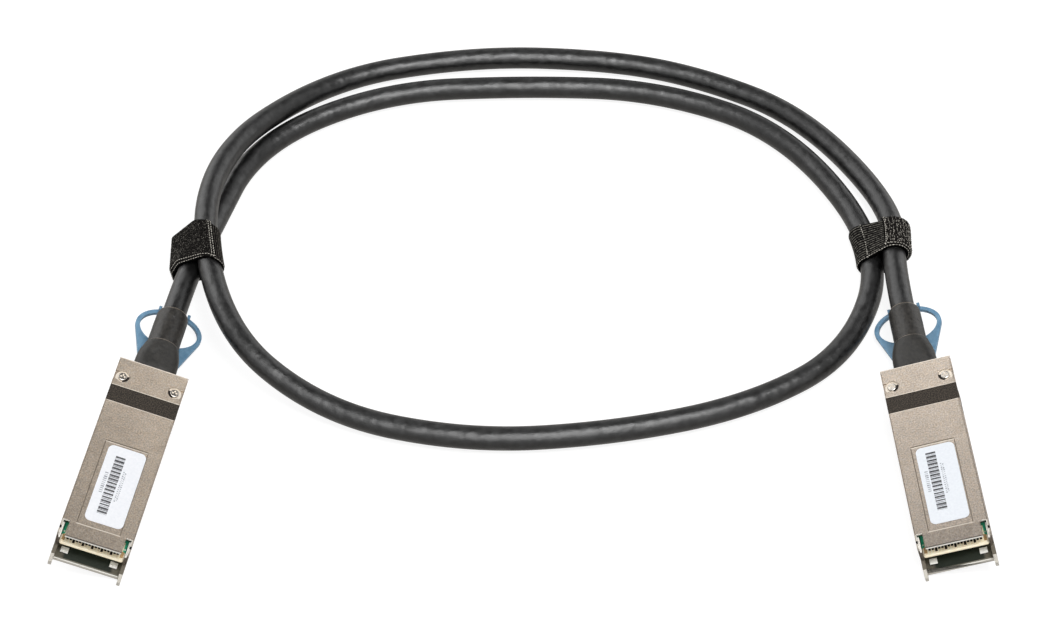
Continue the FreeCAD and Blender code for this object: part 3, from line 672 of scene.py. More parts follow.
def tape_shell(name, outer, inner, closed):
    """A thin shell between two faces of tape, with a map of its length and width in metres."""
    work = bmesh.new()
    top, low = [[[work.verts.new(p) for p in row] for row in face] for face in (outer, inner)]
    uv = work.loops.layers.uv.new("tape")
    middle = outer[STATIONS.index(0.0)]
    run = [0.0]
    for a, b in zip(middle, middle[1:] + middle[:1]):
        run.append(run[-1] + (b - a).length)
    rows, places = len(outer), len(middle)

    def face(corners, marks):
        made = work.faces.new(corners)
        made.smooth = True
        for loop, (u, v) in zip(made.loops, marks):
            loop[uv].uv = (run[u], STATIONS[v] * MM)

    for k in range(places if closed else places - 1):
        m = (k + 1) % places
        for j in range(rows - 1):
            marks = [(k, j), (k, j + 1), (k + 1, j + 1), (k + 1, j)]
            face([top[j][k], top[j + 1][k], top[j + 1][m], top[j][m]], marks)
            face([low[j][m], low[j + 1][m], low[j + 1][k], low[j][k]], marks[::-1])
        marks = [(k, 0), (k + 1, 0), (k + 1, 0), (k, 0)]
        face([top[0][k], top[0][m], low[0][m], low[0][k]], marks)
        face([low[-1][k], low[-1][m], top[-1][m], top[-1][k]], marks)
    if not closed:
        for j in range(rows - 1):
            marks = [(0, j), (0, j + 1), (0, j + 1), (0, j)]
            face([top[j + 1][0], top[j][0], low[j][0], low[j + 1][0]], marks)
            face([top[j][-1], top[j + 1][-1], low[j + 1][-1], low[j][-1]], marks)
    bmesh.ops.recalc_face_normals(work, faces=work.faces)
    return finished(work, name)


print("tape helpers ready")

# %% [markdown]
# ## The tape's finish
# Woven tape is matt black nylon. Light catches single filaments, so it never looks like flat black
# paint. The weave follows the tape and not the room, which is why the pattern reads the tape's own
# map. The thread of the seams is a lighter grey.

# %% Finishes for the tape
def tape_finish(name, pitch, light):
    made, tree, shader = blank_finish(name, specular=0.03)
    length, width, _ = axes(node(tree, "ShaderNodeUVMap", {"uv_map": "tape"}).outputs[0])
    weave = maths("ADD", wave(width, pitch),
                  maths("MULTIPLY", wave(length, pitch * 0.8), 0.6))
    fuzz = noise(on_object(tree), 3000.0, 3.0)
    height = maths("ADD", maths("MULTIPLY", weave, 0.3), fuzz)
    paint(tree, shader, toned(height, seen(3, 3, 3), light, 0.35, 0.95),
          swing(fuzz, 0.75, 0.95), bump(height, 0.00018, 0.8))
    return made


def thread_finish(name, dark, light):
    return two_toned(name, 1800.0, 2.0, dark, light, 0.7, (0.00005, 0.6), (0.35, 0.65), 0.06)


loop_side = tape_finish("loop_side_nylon", 0.00045, seen(24, 23, 22))
hook_side = tape_finish("hook_side_nylon", 0.0006, seen(40, 38, 36))
dark_hook = thread_finish("dark_hooks", seen(4, 4, 4), seen(50, 48, 45))
# Painted glints: the pale and grey hooks stand in for hooks that catch the light.
glint_hook = thread_finish("light_hooks", seen(84, 81, 76), seen(222, 216, 206))
dim_glint_hook = thread_finish("grey_hooks", seen(30, 29, 28), seen(150, 146, 138))
seam_thread = thread_finish("seam_thread", seen(172, 167, 158), seen(232, 227, 217))
rib_thread = thread_finish("rib_thread", seen(22, 22, 21), seen(124, 121, 114))
dull_thread = thread_finish("dull_thread", seen(24, 23, 22), seen(92, 88, 82))
print("tape finishes ready")

# %% [markdown]
# ## Node trees for hooks, seams and ribs
# Three trees serve both ties. The first sets a small hook on every point of a mesh, upright on the
# surface. The second lays short stitches end to end along a line. The third turns lines into thin
# cords, which is how the ribs of the woven face stand up.

# %% Hooks, stitches and ribs
def hook_tree():
    tree, given, sent = new_tree("hook_field", {"Hook Size": "Vector", "Spread": "Float",
                                                "Seed": "Int", "Finish": "Material"})
    hook = node(tree, "GeometryNodeMeshIcoSphere", Radius=0.5, Subdivisions=1)
    upright = node(tree, "FunctionNodeAlignRotationToVector", {"axis": "Z"},
                   Vector=node(tree, "GeometryNodeInputNormal").outputs[0])
    share = random_share(tree, maths("SUBTRACT", 1.0, given["Spread"]),
                         maths("ADD", 1.0, given["Spread"]), given["Seed"])
    spots = set_on(tree, given["Geometry"], hook, Rotation=upright.outputs[0],
                   Scale=scaled(given["Hook Size"], share))
    return end_tree(tree, spots, given["Finish"], sent)


def stitch_tree():
    tree, given, sent = new_tree("stitches", {"Spacing": "Float", "Stitch Size": "Vector",
                                              "Finish": "Material"})
    line = node(tree, "GeometryNodeMeshToCurve", Mesh=given["Geometry"])
    even = node(tree, "GeometryNodeResampleCurve", {"mode": "LENGTH"}, Curve=line.outputs[0],
                Length=given["Spacing"])
    stitch = node(tree, "GeometryNodeMeshIcoSphere", Radius=0.5, Subdivisions=2)
    along = node(tree, "FunctionNodeAlignRotationToVector", {"axis": "X"},
                 Vector=node(tree, "GeometryNodeInputTangent").outputs[0])
    spots = set_on(tree, even.outputs[0], stitch, Rotation=along.outputs[0],
                   Scale=given["Stitch Size"])
    return end_tree(tree, spots, given["Finish"], sent)


def rib_tree():
    tree, given, sent = new_tree("ribs", {"Rib Radius": "Float", "Finish": "Material"})
    line = node(tree, "GeometryNodeMeshToCurve", Mesh=given["Geometry"])
    ring = node(tree, "GeometryNodeCurvePrimitiveCircle", Resolution=6, Radius=given["Rib Radius"])
    cords = node(tree, "GeometryNodeCurveToMesh", Curve=line.outputs[0],
                 Profile_Curve=ring.outputs[0])
    return end_tree(tree, cords, given["Finish"], sent)


hook_field = hook_tree()
stitches = stitch_tree()
ribs = rib_tree()
print("trees:", hook_field.name, stitches.name, ribs.name)

# %% [markdown]
# ## The two ties
# On the left tie the overlapping end covers most of the top, with its hooks outwards, and two seam
# lines close it. On the right tie it covers the right half, with coarse rows of hooks, over a ribbed
# loop side. The same steps make both, with different numbers.

# %% The two ties
BAND_OUT = 0.65
FLAP_IN = 0.72
FLAP_OUT = 1.4


def top_index(tie, across_at):
    """The place on the tape's top where it passes a distance across."""
    outline, _ = tape_outline(tie, 0.0, FLAP_OUT)
    middle = sum(p[1] for p in outline) / AROUND
    upper = [i for i, p in enumerate(outline) if p[1] > middle]
    return min(upper, key=lambda i: abs(outline[i][0] - across_at))


def row_at(rows, width):
    """A line along the tape between two of its rows."""
    for low, high, a, b in zip(STATIONS, STATIONS[1:], rows, rows[1:]):
        if low <= width <= high:
            share = (width - low) / (high - low)
            return [p.lerp(q, share) for p, q in zip(a, b)]
    return rows[-1]


# For each tie: where its free end lies across, how many places the end covers from there, how it
# slides and lifts at its ends, its cross seams, and its hooks: size, pitch, share of pale ones painted
# as glints in every other column, the finish of those, and the seed.
TIE_LOOK = {
    "left": {"free_at": 4.6, "flap": (0, 168), "slides": (0.0, 1.0), "lifts": (0.25, 0.0),
             "seams": (2, 7), "hook": (0.21, 0.21, 0.16), "pitch": 0.33, "light": (0.46, 0.46),
             "bright": dim_glint_hook, "seed": 11},
    "right": {"free_at": 0.6, "flap": (-190, 0), "slides": (0.0, 0.35), "lifts": (0.0, 0.35),
              "seams": (-3,), "hook": (0.26, 0.34, 0.24), "pitch": 0.46, "light": (0.80, 0.22),
              "bright": glint_hook, "seed": 23},
}
tie_surfaces = {}


def tie_piece(side, part, mesh, finish=None, stands_for=()):
    """A piece of a tie."""
    piece(side + "_tie_" + part, mesh, ROOT, finish, stands_for)


for side, tie in TIES.items():
    look = TIE_LOOK[side]
    free = top_index(tie, look["free_at"])
    first, last = [free + places for places in look["flap"]]
    band_faces = [tape_rows(tie, clear, 0, AROUND - 1) for clear in (BAND_OUT, 0.0)]
    flap_faces = [tape_rows(tie, clear, first, last, look["slides"], look["lifts"])
                  for clear in (FLAP_OUT, FLAP_IN)]
    tie_piece(side, "band", tape_shell(side + "_tie_band", *band_faces, True), loop_side,
              (side + "_tie",))
    tie_piece(side, "flap", tape_shell(side + "_tie_flap", *flap_faces, False), hook_side)
    tie_surfaces[side] = (band_faces[0], flap_faces[0], free)
    print(side, "tie: flap from place", first, "to", last, "of", AROUND)

# %% [markdown]
# ## Hooks, ribs and seams on the ties
# The hooks stand in rows, a little uneven. Most of them are black, and some are painted pale as
# painted glints, where light would catch them. Which ones is drawn with a fixed seed, so that the tie
# looks the same every time.

# %% Hooks, ribs and seams
HOOK_EDGE = 5.6
SEAM_EDGES = {"flap": -5.72, "band": -5.75}
STITCH = {"Spacing": 0.85 * MM, "Stitch_Size": [0.62 * MM, 0.20 * MM, 0.16 * MM]}
CROSS_SEAM_AT = -4.7
RIBS_FROM, RIB_STEP, RIB_COUNT = -5.2, 0.80, 14
DULL_RIB_EVERY = 6
for side in TIES:
    look = TIE_LOOK[side]
    chance = random.Random(look["seed"])
    _, flap, _ = tie_surfaces[side]
    count = int(TIE_WIDTH / look["pitch"])
    middle = flap[STATIONS.index(0.0)]
    stride = max(1, round(look["pitch"] / ((middle[1] - middle[0]).length / MM)))
    spots = {"dark": [], "light": []}
    for line in range(count):
        run = row_at(flap, -HOOK_EDGE + 2 * HOOK_EDGE * line / (count - 1))
        for index in range(1 + line % 2, len(run) - 2, stride):
            ahead = (run[index + 1] - run[index]).normalized()
            wobble = ahead * chance.uniform(-0.12, 0.12) * MM
            share = look["light"][index // stride % 2]
            spots["light" if chance.random() < share else "dark"].append(run[index] + wobble)
    for kind, finish in (("dark", dark_hook), ("light", look["bright"])):
        hooks = grown(hook_field, line_mesh("hook_spots", [[spot] for spot in spots[kind]]),
                      Hook_Size=[v * MM for v in look["hook"]], Spread=0.35, Seed=look["seed"],
                      Finish=finish)
        tie_piece(side, "hooks_" + kind, hooks)
    print(side, "hooks:", {kind: len(found) for kind, found in spots.items()})

for side, tie in TIES.items():
    band_face, flap, free = tie_surfaces[side]
    runs = [[row[seam] for row in flap[1:-1]] for seam in TIE_LOOK[side]["seams"]]
    runs += [row_at(flap, SEAM_EDGES["flap"]), row_at(band_face, SEAM_EDGES["band"])]
    if side == "right":
        third = top_index(tie, CROSS_SEAM_AT)
        runs.append([row[third] for row in band_face[1:-1]])
        cords = [row_at(band_face, RIBS_FROM + RIB_STEP * line)[::2] for line in range(RIB_COUNT)]
    else:
        cords = [[row[index] for row in band_face[1:-1]]
                 for index in range(0, free, DULL_RIB_EVERY)]
    tie_piece(side, "seams", grown(stitches, line_mesh("seams", runs), Finish=seam_thread, **STITCH))
    ribbed = grown(ribs, line_mesh("ribs", cords), Rib_Radius=0.13 * MM,
                   Finish=rib_thread if side == "right" else dull_thread)
    tie_piece(side, "ribs", ribbed)
    print(side, "ribs:", len(cords), "faces:", len(ribbed.polygons))

# %% [markdown]
# ## Cast metal
# Shell and cover are zinc, cast under pressure, then nickel plated and lightly blasted. Such a
# surface is bright but not a mirror: it has a fine grain, and its tone drifts a little over the part.
# Two noise patterns in the plug's own frame do both. On top of them comes painted light and shade:
# the tone is painted darker towards the nose and lighter towards the rear, a painted step of shade
# marks the sloping front of the cover, which looks away from the lamps, one side is painted a little
# darker than the other, and each plug gets its own painted brightness and tint. Thin painted
# highlights and shade lines follow edges, rims, notches and screw pockets, and the nose is painted
# dark inside.

# %% Finish of the cast metal
# Each plug's tone, tint and turn across are painted light and shade: the same nickel is made brighter
# or darker on each plug and on each side, as the light falls.
CAST = {"left": {"tone": 0.63, "tint": (1.0, 1.0, 1.0), "turn": (0.94, 1.06)},
        "right": {"tone": 0.71, "tint": (0.985, 1.0, 1.035), "turn": (0.98, 1.03)}}
SCREW_SPOT = (6.925, -5.45)


def band(value, low, high, soft=0.03):
    """1 between two places given in millimetres, 0 outside them."""
    return both(remap(value, (low - soft) * MM, (low + soft) * MM, 0.0, 1.0),
                remap(value, (high - soft) * MM, (high + soft) * MM, 1.0, 0.0))


# Painted highlights and painted shade on the castings, with a few flat tones: a colour, then the
# spans in millimetres that bound it, each with its direction, its ends and, if need be, its softness.
# Across is counted from the middle to either side, and ROUND is the distance from a screw's centre.
ACROSS, ALONG, UP, ROUND = range(4)
MIDDLE = (ACROSS, -1.0, 5.6)
NOTCH = ((ALONG, -50.6, -50.16), (ACROSS, 7.25, 9.5))
POCKET = ((ROUND, -1.0, 1.8, 0.04), (UP, 7.0, 8.38))
COVER_LIGHT_AND_SHADE = (
    # Painted shade along the outer rims of the cover.
    (seen(84, 76, 66), (ACROSS, 8.96, 9.3), (UP, 8.28, 9.0), (ALONG, -50.2, -0.2)),
    # A painted shade line along both side edges of the label recess.
    (seen(112, 102, 90), (ACROSS, 5.44, 5.66), (ALONG, -50.1, -25.1)),
    # Painted highlights along the rear edge and across the cover 8.5 and 13.5 mm in front of it.
    (seen(226, 216, 203), (ALONG, -0.25, 0.5)),
    (seen(216, 206, 192), (ALONG, -8.66, -8.42)),
    (seen(216, 206, 192), (ALONG, -13.66, -13.42)),
    # A painted highlight and a painted shade line at the rear step of the label recess, and a painted
    # highlight on the ridge at its front.
    (seen(214, 205, 192), (ALONG, -25.3, -25.06), MIDDLE),
    (seen(104, 94, 82), (ALONG, -25.02, -24.84), MIDDLE),
    (seen(196, 187, 175), (ALONG, -50.30, -50.08), MIDDLE),
    # A painted shade line just behind the front edge, and a painted highlight on the front face.
    (seen(62, 55, 48), (ALONG, -54.30, -54.05), (UP, 7.9, 9.0)),
    (seen(255, 253, 246), (ALONG, -56.0, -54.305, 0.01), (UP, 7.0, 8.12)),
    # A painted highlight on the top of each notch's rear wall, and under it dark green paint for the
    # shaded card behind the wall.
    (seen(250, 247, 240), *NOTCH, (UP, 8.02, 9.0)),
    (seen(26, 58, 45), *NOTCH, (UP, 6.5, 8.0)),
    # Painted light on the floor of each screw pocket, and a painted shadow crescent on its inner side.
    (seen(232, 222, 208), *POCKET, (ACROSS, 5.0, 9.5)),
    (seen(30, 24, 20), *POCKET, (ACROSS, 4.5, 6.7), (ALONG, -8.0, -4.8)),
)
# The shell's nose is painted dark inside, as painted shade and a painted reflection of the card's
# green underside, lighter towards its sides and its lip. Its pads and its lip get painted highlights,
# its side walls ahead of the card painted shade, and its prongs a flat light grey.
FLOOR = ((ALONG, -57.15, -50.0), (UP, 0.8, 1.3), (ACROSS, -1.0, 8.3))
AHEAD = (ALONG, -57.15, -52.0)
BESIDE = ((ALONG, -54.7, -50.25), (UP, 7.0, 9.0))
SHELL_LIGHT_AND_SHADE = (
    (seen(92, 88, 76), *FLOOR, (ACROSS, 6.3, 8.3, 0.4)),
    (seen(24, 31, 23), *FLOOR, (ACROSS, -1.0, 6.3, 0.4)),
    (seen(120, 116, 104), *FLOOR, (ALONG, -56.86, -56.55, 0.1)),
    (seen(240, 238, 232), (ALONG, -57.4, -56.86), (UP, 0.5, 1.3)),
    (seen(255, 254, 250), AHEAD, (UP, 1.4, 1.8), (ACROSS, 4.0, 7.7)),
    (seen(108, 102, 90), AHEAD, (UP, 1.05, 3.3), (ACROSS, 8.1, 9.5)),
    (seen(204, 199, 189), (ALONG, -60.0, -57.15)),
    # Painted highlights on the rims beside the notches.
    (seen(240, 236, 228), *BESIDE, (ACROSS, 8.1, 8.8)),
    (seen(176, 168, 156), *BESIDE, (ACROSS, 8.8, 9.14)),
    # A painted black spot for the shade inside a small hole in each side wall.
    (seen(16, 15, 13), (ALONG, -52.8, -52.0), (UP, 7.5, 9.0), (ACROSS, 8.7, 9.5)),
    # A painted highlight along the rear edge.
    (seen(222, 212, 199), (ALONG, -0.2, 0.5)),
)


def cast_finish(name, side, base, marks):
    """Plated zinc: random drift and grain, painted light and shade along and across the plug, and the
    marks.
    """
    made, tree, shader = blank_finish(name, specular=0.3)
    where = on_plug(tree, side)
    across, along, up = axes(where)
    drift = noise(where, 140.0, 3.0)
    patches = noise(where, 620.0, 4.0)
    grain = noise(where, 2700.0, 2.0)
    hue = noise(where, 2400.0, 2.0)
    # Painted light and shade: darker towards the nose, lighter towards the rear, darker in front of
    # the cover's slope, and one side darker than the other; the noises are the metal's own drift and
    # grain.
    light_and_drift_gain = both(remap(along, -0.050, -0.016, 0.76, 1.0),
                remap(along, -0.020, -0.002, 1.0, 1.17),
                remap(along, -0.0506, -0.0501, 0.72, 1.0),
                remap(across, -0.009, 0.009, *CAST[side]["turn"]),
                swing(drift, 0.95, 1.05), swing(patches, 0.95, 1.05),
                swing(grain, 0.72, 1.28), CAST[side]["tone"])
    red, green, blue = (c * tint for c, tint in zip(base, CAST[side]["tint"]))
    warm, cool = (red * 1.04, green, blue * 0.96, 1.0), (red * 0.97, green, blue * 1.05, 1.0)
    tone = scaled(toned(hue, warm, cool, 0.35, 0.65), light_and_drift_gain)
    metal = 0.85
    beside = maths("ABSOLUTE", across)
    dx = maths("SUBTRACT", beside, SCREW_SPOT[0] * MM)
    dy = maths("SUBTRACT", along, SCREW_SPOT[1] * MM)
    from_screw = maths("SQRT", maths("ADD", both(dx, dx), both(dy, dy)))
    places = (beside, along, up, from_screw)
    for colour, *spans in marks:
        mask = both(*[band(places[way], *span) for way, *span in spans])
        tone = mixed(mask, tone, colour)
        metal = both(remap(mask, 0.0, 1.0, 1.0, 0.1), metal)
    relief = bump(patches, 0.00010, 0.3, bump(grain, 0.00009, 0.6))
    paint(tree, shader, tone, swing(patches, 0.46, 0.58), relief)
    feed(tree, metal, shader.inputs["Metallic"])
    return made


def wider_cover(spot):
    """The cover reaches almost to the plug's sides, and its front edge is drawn back a little."""
    if abs(spot.x) > 8.4:
        spot.x = math.copysign(8.93, spot.x)
    if spot.y < -54.5:
        spot.y += 0.25


def thinner_rim(spot):
    """The shell's rim leaves room for it, behind the notches."""
    if 8.6 < abs(spot.x) < 8.75 and spot.z > 7.1 and spot.y > -50.3:
        spot.x = math.copysign(8.98, spot.x)


for side in PLUGS:
    shell = eased_copy(side, "bottom_shell", 0.09, 2, False, thinner_rim, (-50.2, -50.45))
    nickel = cast_finish(side + "_shell_nickel", side, seen(188, 175, 160), SHELL_LIGHT_AND_SHADE)
    plug_piece(side, "shell_casting", shell, nickel, "bottom_shell")
    cover = eased_copy(side, "top_cover", 0.10, 2, False, wider_cover)
    nickel = cast_finish(side + "_cover_nickel", side, seen(190, 177, 161), COVER_LIGHT_AND_SHADE)
    plug_piece(side, "cover_casting", cover, nickel, "top_cover")
    print(side, "castings:", len(shell.polygons), "and", len(cover.polygons), "faces")

# %% [markdown]
# ## Screws, slider, springs and what is inside
# The small steel and copper parts keep the solid model's own shapes, because those are already right
# down to the cross in each screw head. They get metals that differ in colour and polish.

# %% Finishes of the small metal parts
def plain_metal(name, colour, rough, scale, metallic=1.0):
    """Metal with cloudy tones and fine scratches along the part."""
    made, tree, shader = blank_finish(name, metallic=metallic)
    where = on_object(tree)
    stretched = node(tree, "ShaderNodeMapping", Vector=where, Scale=(1.0, 9.0, 1.0)).outputs[0]
    scratch = noise(stretched, 2500.0, 2.0)
    shade = (*[c * 0.72 for c in colour[:3]], 1.0)
    paint(tree, shader, toned(noise(where, scale, 3.0), shade, colour),
          swing(scratch, rough - 0.07, rough + 0.1), bump(scratch, 0.00003, 0.4))
    return made


for part, slot, *look in (("cover_screws", "screw_steel", seen(196, 190, 182), 0.2, 900.0),
                          ("latch_slider", "slider_steel", seen(190, 188, 184), 0.34, 300.0),
                          ("return_springs", "spring_steel", seen(160, 158, 154), 0.3, 500.0),
                          ("crimp_ring", "ferrule_brass", seen(206, 170, 96), 0.3, 400.0),
                          ("copper_pairs", "pair_foil", seen(205, 205, 208), 0.35, 700.0)):
    metal = plain_metal(slot, *look)
    for side in PLUGS:
        dressed(side, part, metal)
print("small metal parts dressed")

# %% [markdown]
# ## The gasket
# The dark belt is conductive cloth over a thin strip of foam. It seals the gap round the port against
# radio noise. Close up it is a fine plain weave, so its bump is two crossed waves in the plug's own
# frame, a third of a millimetre apart.

# %% The gasket's finish
THREAD_PITCH = 0.00034


def gasket_finish(side):
    made, tree, shader = blank_finish(side + "_gasket_cloth", metallic=0.25, specular=0.3)
    where = on_plug(tree, side)
    across, along, up = axes(where)
    weave = both(wave(maths("ADD", across, up), THREAD_PITCH),
                 wave(along, THREAD_PITCH))
    height = maths("ADD", weave, noise(where, 700.0, 3.0))
    speck = noise(where, 3300.0, 2.0)
    tone = toned(height, seen(16, 13, 10), seen(44, 38, 33), -0.6, 1.6)
    tone = mixed(remap(speck, 0.42, 0.70, 0.0, 0.8), tone, seen(86, 77, 66))
    paint(tree, shader, tone, 0.68, bump(height, 0.00006, 0.6))
    return made


for side in PLUGS:
    dressed(side, "emi_gasket", gasket_finish(side))
print("gaskets dressed")

# %% [markdown]
# ## The label
# Each cover carries a white film label with rounded corners. Its print here is only a column of plain
# bars and two columns of short grey dashes: fields of colour without any words. The bars differ in
# thickness, and a fixed seed decides how.

# %% Label film and its bars
# The film is a little greyer on the plug whose face meets the main lamp more squarely.
FILM_TONES = {"left": (seen(236, 238, 243), seen(243, 244, 248)),
              "right": (seen(225, 229, 235), seen(232, 236, 241))}
bar_ink = two_toned("bar_ink", 2800.0, 3.0, seen(52, 52, 54), seen(118, 118, 122), 0.6,
                    spread=(0.35, 0.75), specular=0.2)
dash_ink = two_toned("dash_ink", 2800.0, 3.0, seen(120, 124, 132), seen(196, 199, 206), 0.6,
                     specular=0.2)


def bar_tree():
    """A column of thin bars: every bar has the same length and its own thickness."""
    tree, given, sent = new_tree("bar_column", {
        "Count": "Int", "Start": "Vector", "Step": "Vector", "Bar Size": "Vector",
        "Thinnest": "Float", "Seed": "Int", "Finish": "Material"})
    line = node(tree, "GeometryNodeMeshLine", {"mode": "OFFSET"}, Count=given["Count"],
                Start_Location=given["Start"], Offset=given["Step"])
    bar = node(tree, "GeometryNodeMeshCube", Size=given["Bar Size"])
    share = random_share(tree, given["Thinnest"], 1.0, given["Seed"])
    size = node(tree, "ShaderNodeCombineXYZ", X=1.0, Y=share, Z=1.0)
    spots = set_on(tree, line.outputs[0], bar, Scale=size.outputs[0])
    return end_tree(tree, spots, given["Finish"], sent)


bar_column = bar_tree()


def columns(side, finish, rows, **shared):
    """One mesh of columns of bars, drawn in the plug's millimetres and carried to its place."""
    work = bmesh.new()
    for row in rows:
        column = grown(bar_column, bpy.data.meshes.new("empty"), Finish=finish, **row, **shared)
        column.transform(place[side])
        work.from_mesh(column)
    return finished(work, "columns")


LABEL_TOP = PLUG_TOP - 0.08
LABEL_HALF = 4.9
LABEL_ENDS = (-25.75, -48.4)
LABEL_ROUND = 1.45
PRINT_TOP = LABEL_TOP + 0.006
PRINT_THICK = 0.012
BAR_COLUMNS = ((-0.45, 0.66, 0.55, 5), (-0.95, 0.2, 0.3, 8))
DASH_COLUMNS = ((-2.05, -5.6, 11, 0.85), (1.95, -4.1, 16, 0.35), (2.45, -4.4, 15, 0.35))


def label_mesh(name, shift):
    """A thin film with rounded corners, drawn in the plug's millimetres."""
    work = bmesh.new()
    outline = []
    for corner in range(4):
        right = 1 if corner in (0, 3) else -1
        y = LABEL_ENDS[0] - LABEL_ROUND if corner < 2 else LABEL_ENDS[1] + LABEL_ROUND
        for step in range(9):
            angle = math.pi / 2 * (corner + step / 8)
            x = shift + right * (LABEL_HALF - LABEL_ROUND)
            outline.append((x + LABEL_ROUND * math.cos(angle), y + LABEL_ROUND * math.sin(angle)))
    low = [work.verts.new((x, y, LABEL_TOP - 0.1)) for x, y in outline]
    high = [work.verts.new((x, y, LABEL_TOP)) for x, y in outline]
    work.faces.new(high)
    work.faces.new(list(reversed(low)))
    for k in range(len(outline)):
        m = (k + 1) % len(outline)
        work.faces.new((low[k], low[m], high[m], high[k]))
    return finished(work, name)


for side, plug in PLUGS.items():
    label = label_mesh(side + "_label_film", plug["label_shift"])
    label.transform(place[side])
    film = two_toned("label_film_" + side, 1500.0, 3.0, *FILM_TONES[side], (0.38, 0.5),
                     (0.00002, 0.4), specular=0.4)
    plug_piece(side, "label_film", label, film, "label")
    x, y = plug["print_at"]
    bars = columns(side, bar_ink, [
        {"Start": [x, y + start, PRINT_TOP], "Bar_Size": [2.5, thick, PRINT_THICK],
         "Thinnest": thinnest, "Seed": seed} for start, thick, thinnest, seed in BAR_COLUMNS],
        Count=16, Step=[0.0, -1.085, 0.0])
    plug_piece(side, "label_bars", bars, bar_ink)
    dashes = columns(side, dash_ink, [
        {"Start": [x + aside, y + start, PRINT_TOP], "Bar_Size": [width, 0.4, PRINT_THICK],
         "Count": count} for aside, start, count, width in DASH_COLUMNS],
        Step=[0.0, -0.575, 0.0], Thinnest=0.35, Seed=9)
    plug_piece(side, "label_dashes", dashes, dash_ink)
print("labels printed")

# %% [markdown]
# ## The card's edge
# The printed card shows at the nose and through the two notches of the cover. Behind its plated edge
# it has green lacquer. In front lie nineteen contacts on each face, 0.8 mm apart. Gold is a mirror,
# so dark bars are painted on the contacts as painted reflection and painted shade, where they would
# mirror the underside of the cover; every third one reaches further. The contact rows are grown,
# which replaces the solid model's plain pads. Card and contacts glow faintly, in place of the light
# that the bright walls of the nose throw on them.

# %% The card
GLOW = 0.16
LACQUER_ENDS = (-0.05225, -0.05235)
CARD_TOP = 4.9
CARD_UNDER = 3.9
CONTACT_PITCH = 0.8
CONTACT_SIZE = [0.46, 4.6, 0.05]
SHADE_FROM = -51.6
SHADE_ROWS = ((17, -6.4, CONTACT_PITCH, -53.36), (5, -4.8, 3 * CONTACT_PITCH, -53.92))


def card_finish(side):
    """Green lacquer, and a pale plated edge in front of it."""
    made, tree, shader = blank_finish(side + "_card_laminate")
    where = on_plug(tree, side)
    _, along, _ = axes(where)
    cloud = noise(where, 900.0, 3.0)
    tone = mixed(remap(along, *LACQUER_ENDS, 0.0, 1.0),
                 toned(cloud, seen(30, 138, 98), seen(62, 178, 136)),
                 toned(cloud, seen(250, 234, 202), seen(255, 247, 222)))
    paint(tree, shader, tone, swing(cloud, 0.28, 0.4), bump(cloud, 0.00003, 0.5))
    feed(tree, tone, shader.inputs["Emission Color"])
    shader.inputs["Emission Strength"].default_value = GLOW
    return made


gold = plain_metal("contact_gold", seen(255, 242, 208), 0.4, 700.0, 0.05)
gold_shader = next(n for n in gold.node_tree.nodes if n.type == "BSDF_PRINCIPLED")
gold_shader.inputs["Emission Color"].default_value = seen(255, 236, 196)
gold_shader.inputs["Emission Strength"].default_value = GLOW
tan_pad = plain_metal("end_pad", seen(206, 166, 112), 0.4, 700.0, 0.3)
# Painted reflection and painted shade: dark bars on the contacts under the cover's front edge.
dark_gold = two_toned("contact_in_shade", 1400.0, 2.0, seen(14, 11, 8), seen(44, 32, 20), 0.4,
                      spread=(0.0, 1.0), specular=0.3)
via_finish = plain_metal("via_pad", seen(222, 226, 214), 0.35, 900.0, 0.4)
even_bars = {"Thinnest": 1.0, "Seed": 1}
for side in PLUGS:
    card = eased_copy(side, "paddle_card", 0.05, 2, False)
    plug_piece(side, "card", card, card_finish(side), "paddle_card")
    rows = columns(side, gold, [{"Start": [-9 * CONTACT_PITCH, -51.8, level]}
                                for level in (CARD_TOP + 0.025, CARD_UNDER - 0.025)],
                   Count=19, Step=[CONTACT_PITCH, 0.0, 0.0], Bar_Size=CONTACT_SIZE, **even_bars)
    plug_piece(side, "contact_rows", rows, gold, "card_contacts")
    shade = columns(side, dark_gold, [
        {"Count": count, "Start": [first, (SHADE_FROM + front) / 2, CARD_TOP + 0.07],
         "Step": [step, 0.0, 0.0], "Bar_Size": [0.6, SHADE_FROM - front, 0.03]}
        for count, first, step, front in SHADE_ROWS], **even_bars)
    plug_piece(side, "contact_shade", shade, dark_gold)
    for part, finish, slot, aside, y, height, size in (
            ("end_pads", tan_pad, "contact_gold", 7.45, -53.0, 0.065, [0.75, 1.7, 0.03]),
            ("vias", via_finish, "card_laminate", 7.75, -51.4, 0.03, [0.42, 0.42, 0.03])):
        pair = columns(side, finish, [{"Start": [-aside, y, CARD_TOP + height]}], Count=2,
                       Step=[2 * aside, 0.0, 0.0], Bar_Size=size, **even_bars)
        plug_piece(side, part, pair, finish)
print("cards and contacts ready")

# %% [markdown]
# ## The boot and its sleeve
# Behind the metal sits a soft moulded boot. It starts as wide as the opening, with a rounded
# rectangular section, and draws in to a round neck, over which a sleeve is shrunk. Rings of points
# whose width, height and squareness change smoothly along the plug make such a skin better than any
# primitive, because every ring can be shaped on its own.

# %% The boot's skin
def superellipse(half_width, half_height, power, count):
    """A closed ring that is an ellipse at power 2 and a rounded rectangle above it."""
    ring = []
    for index in range(count):
        angle = 2 * math.pi * index / count
        c, s = math.cos(angle), math.sin(angle)
        ring.append((half_width * math.copysign(abs(c) ** (2 / power), c),
                     half_height * math.copysign(abs(s) ** (2 / power), s)))
    return ring


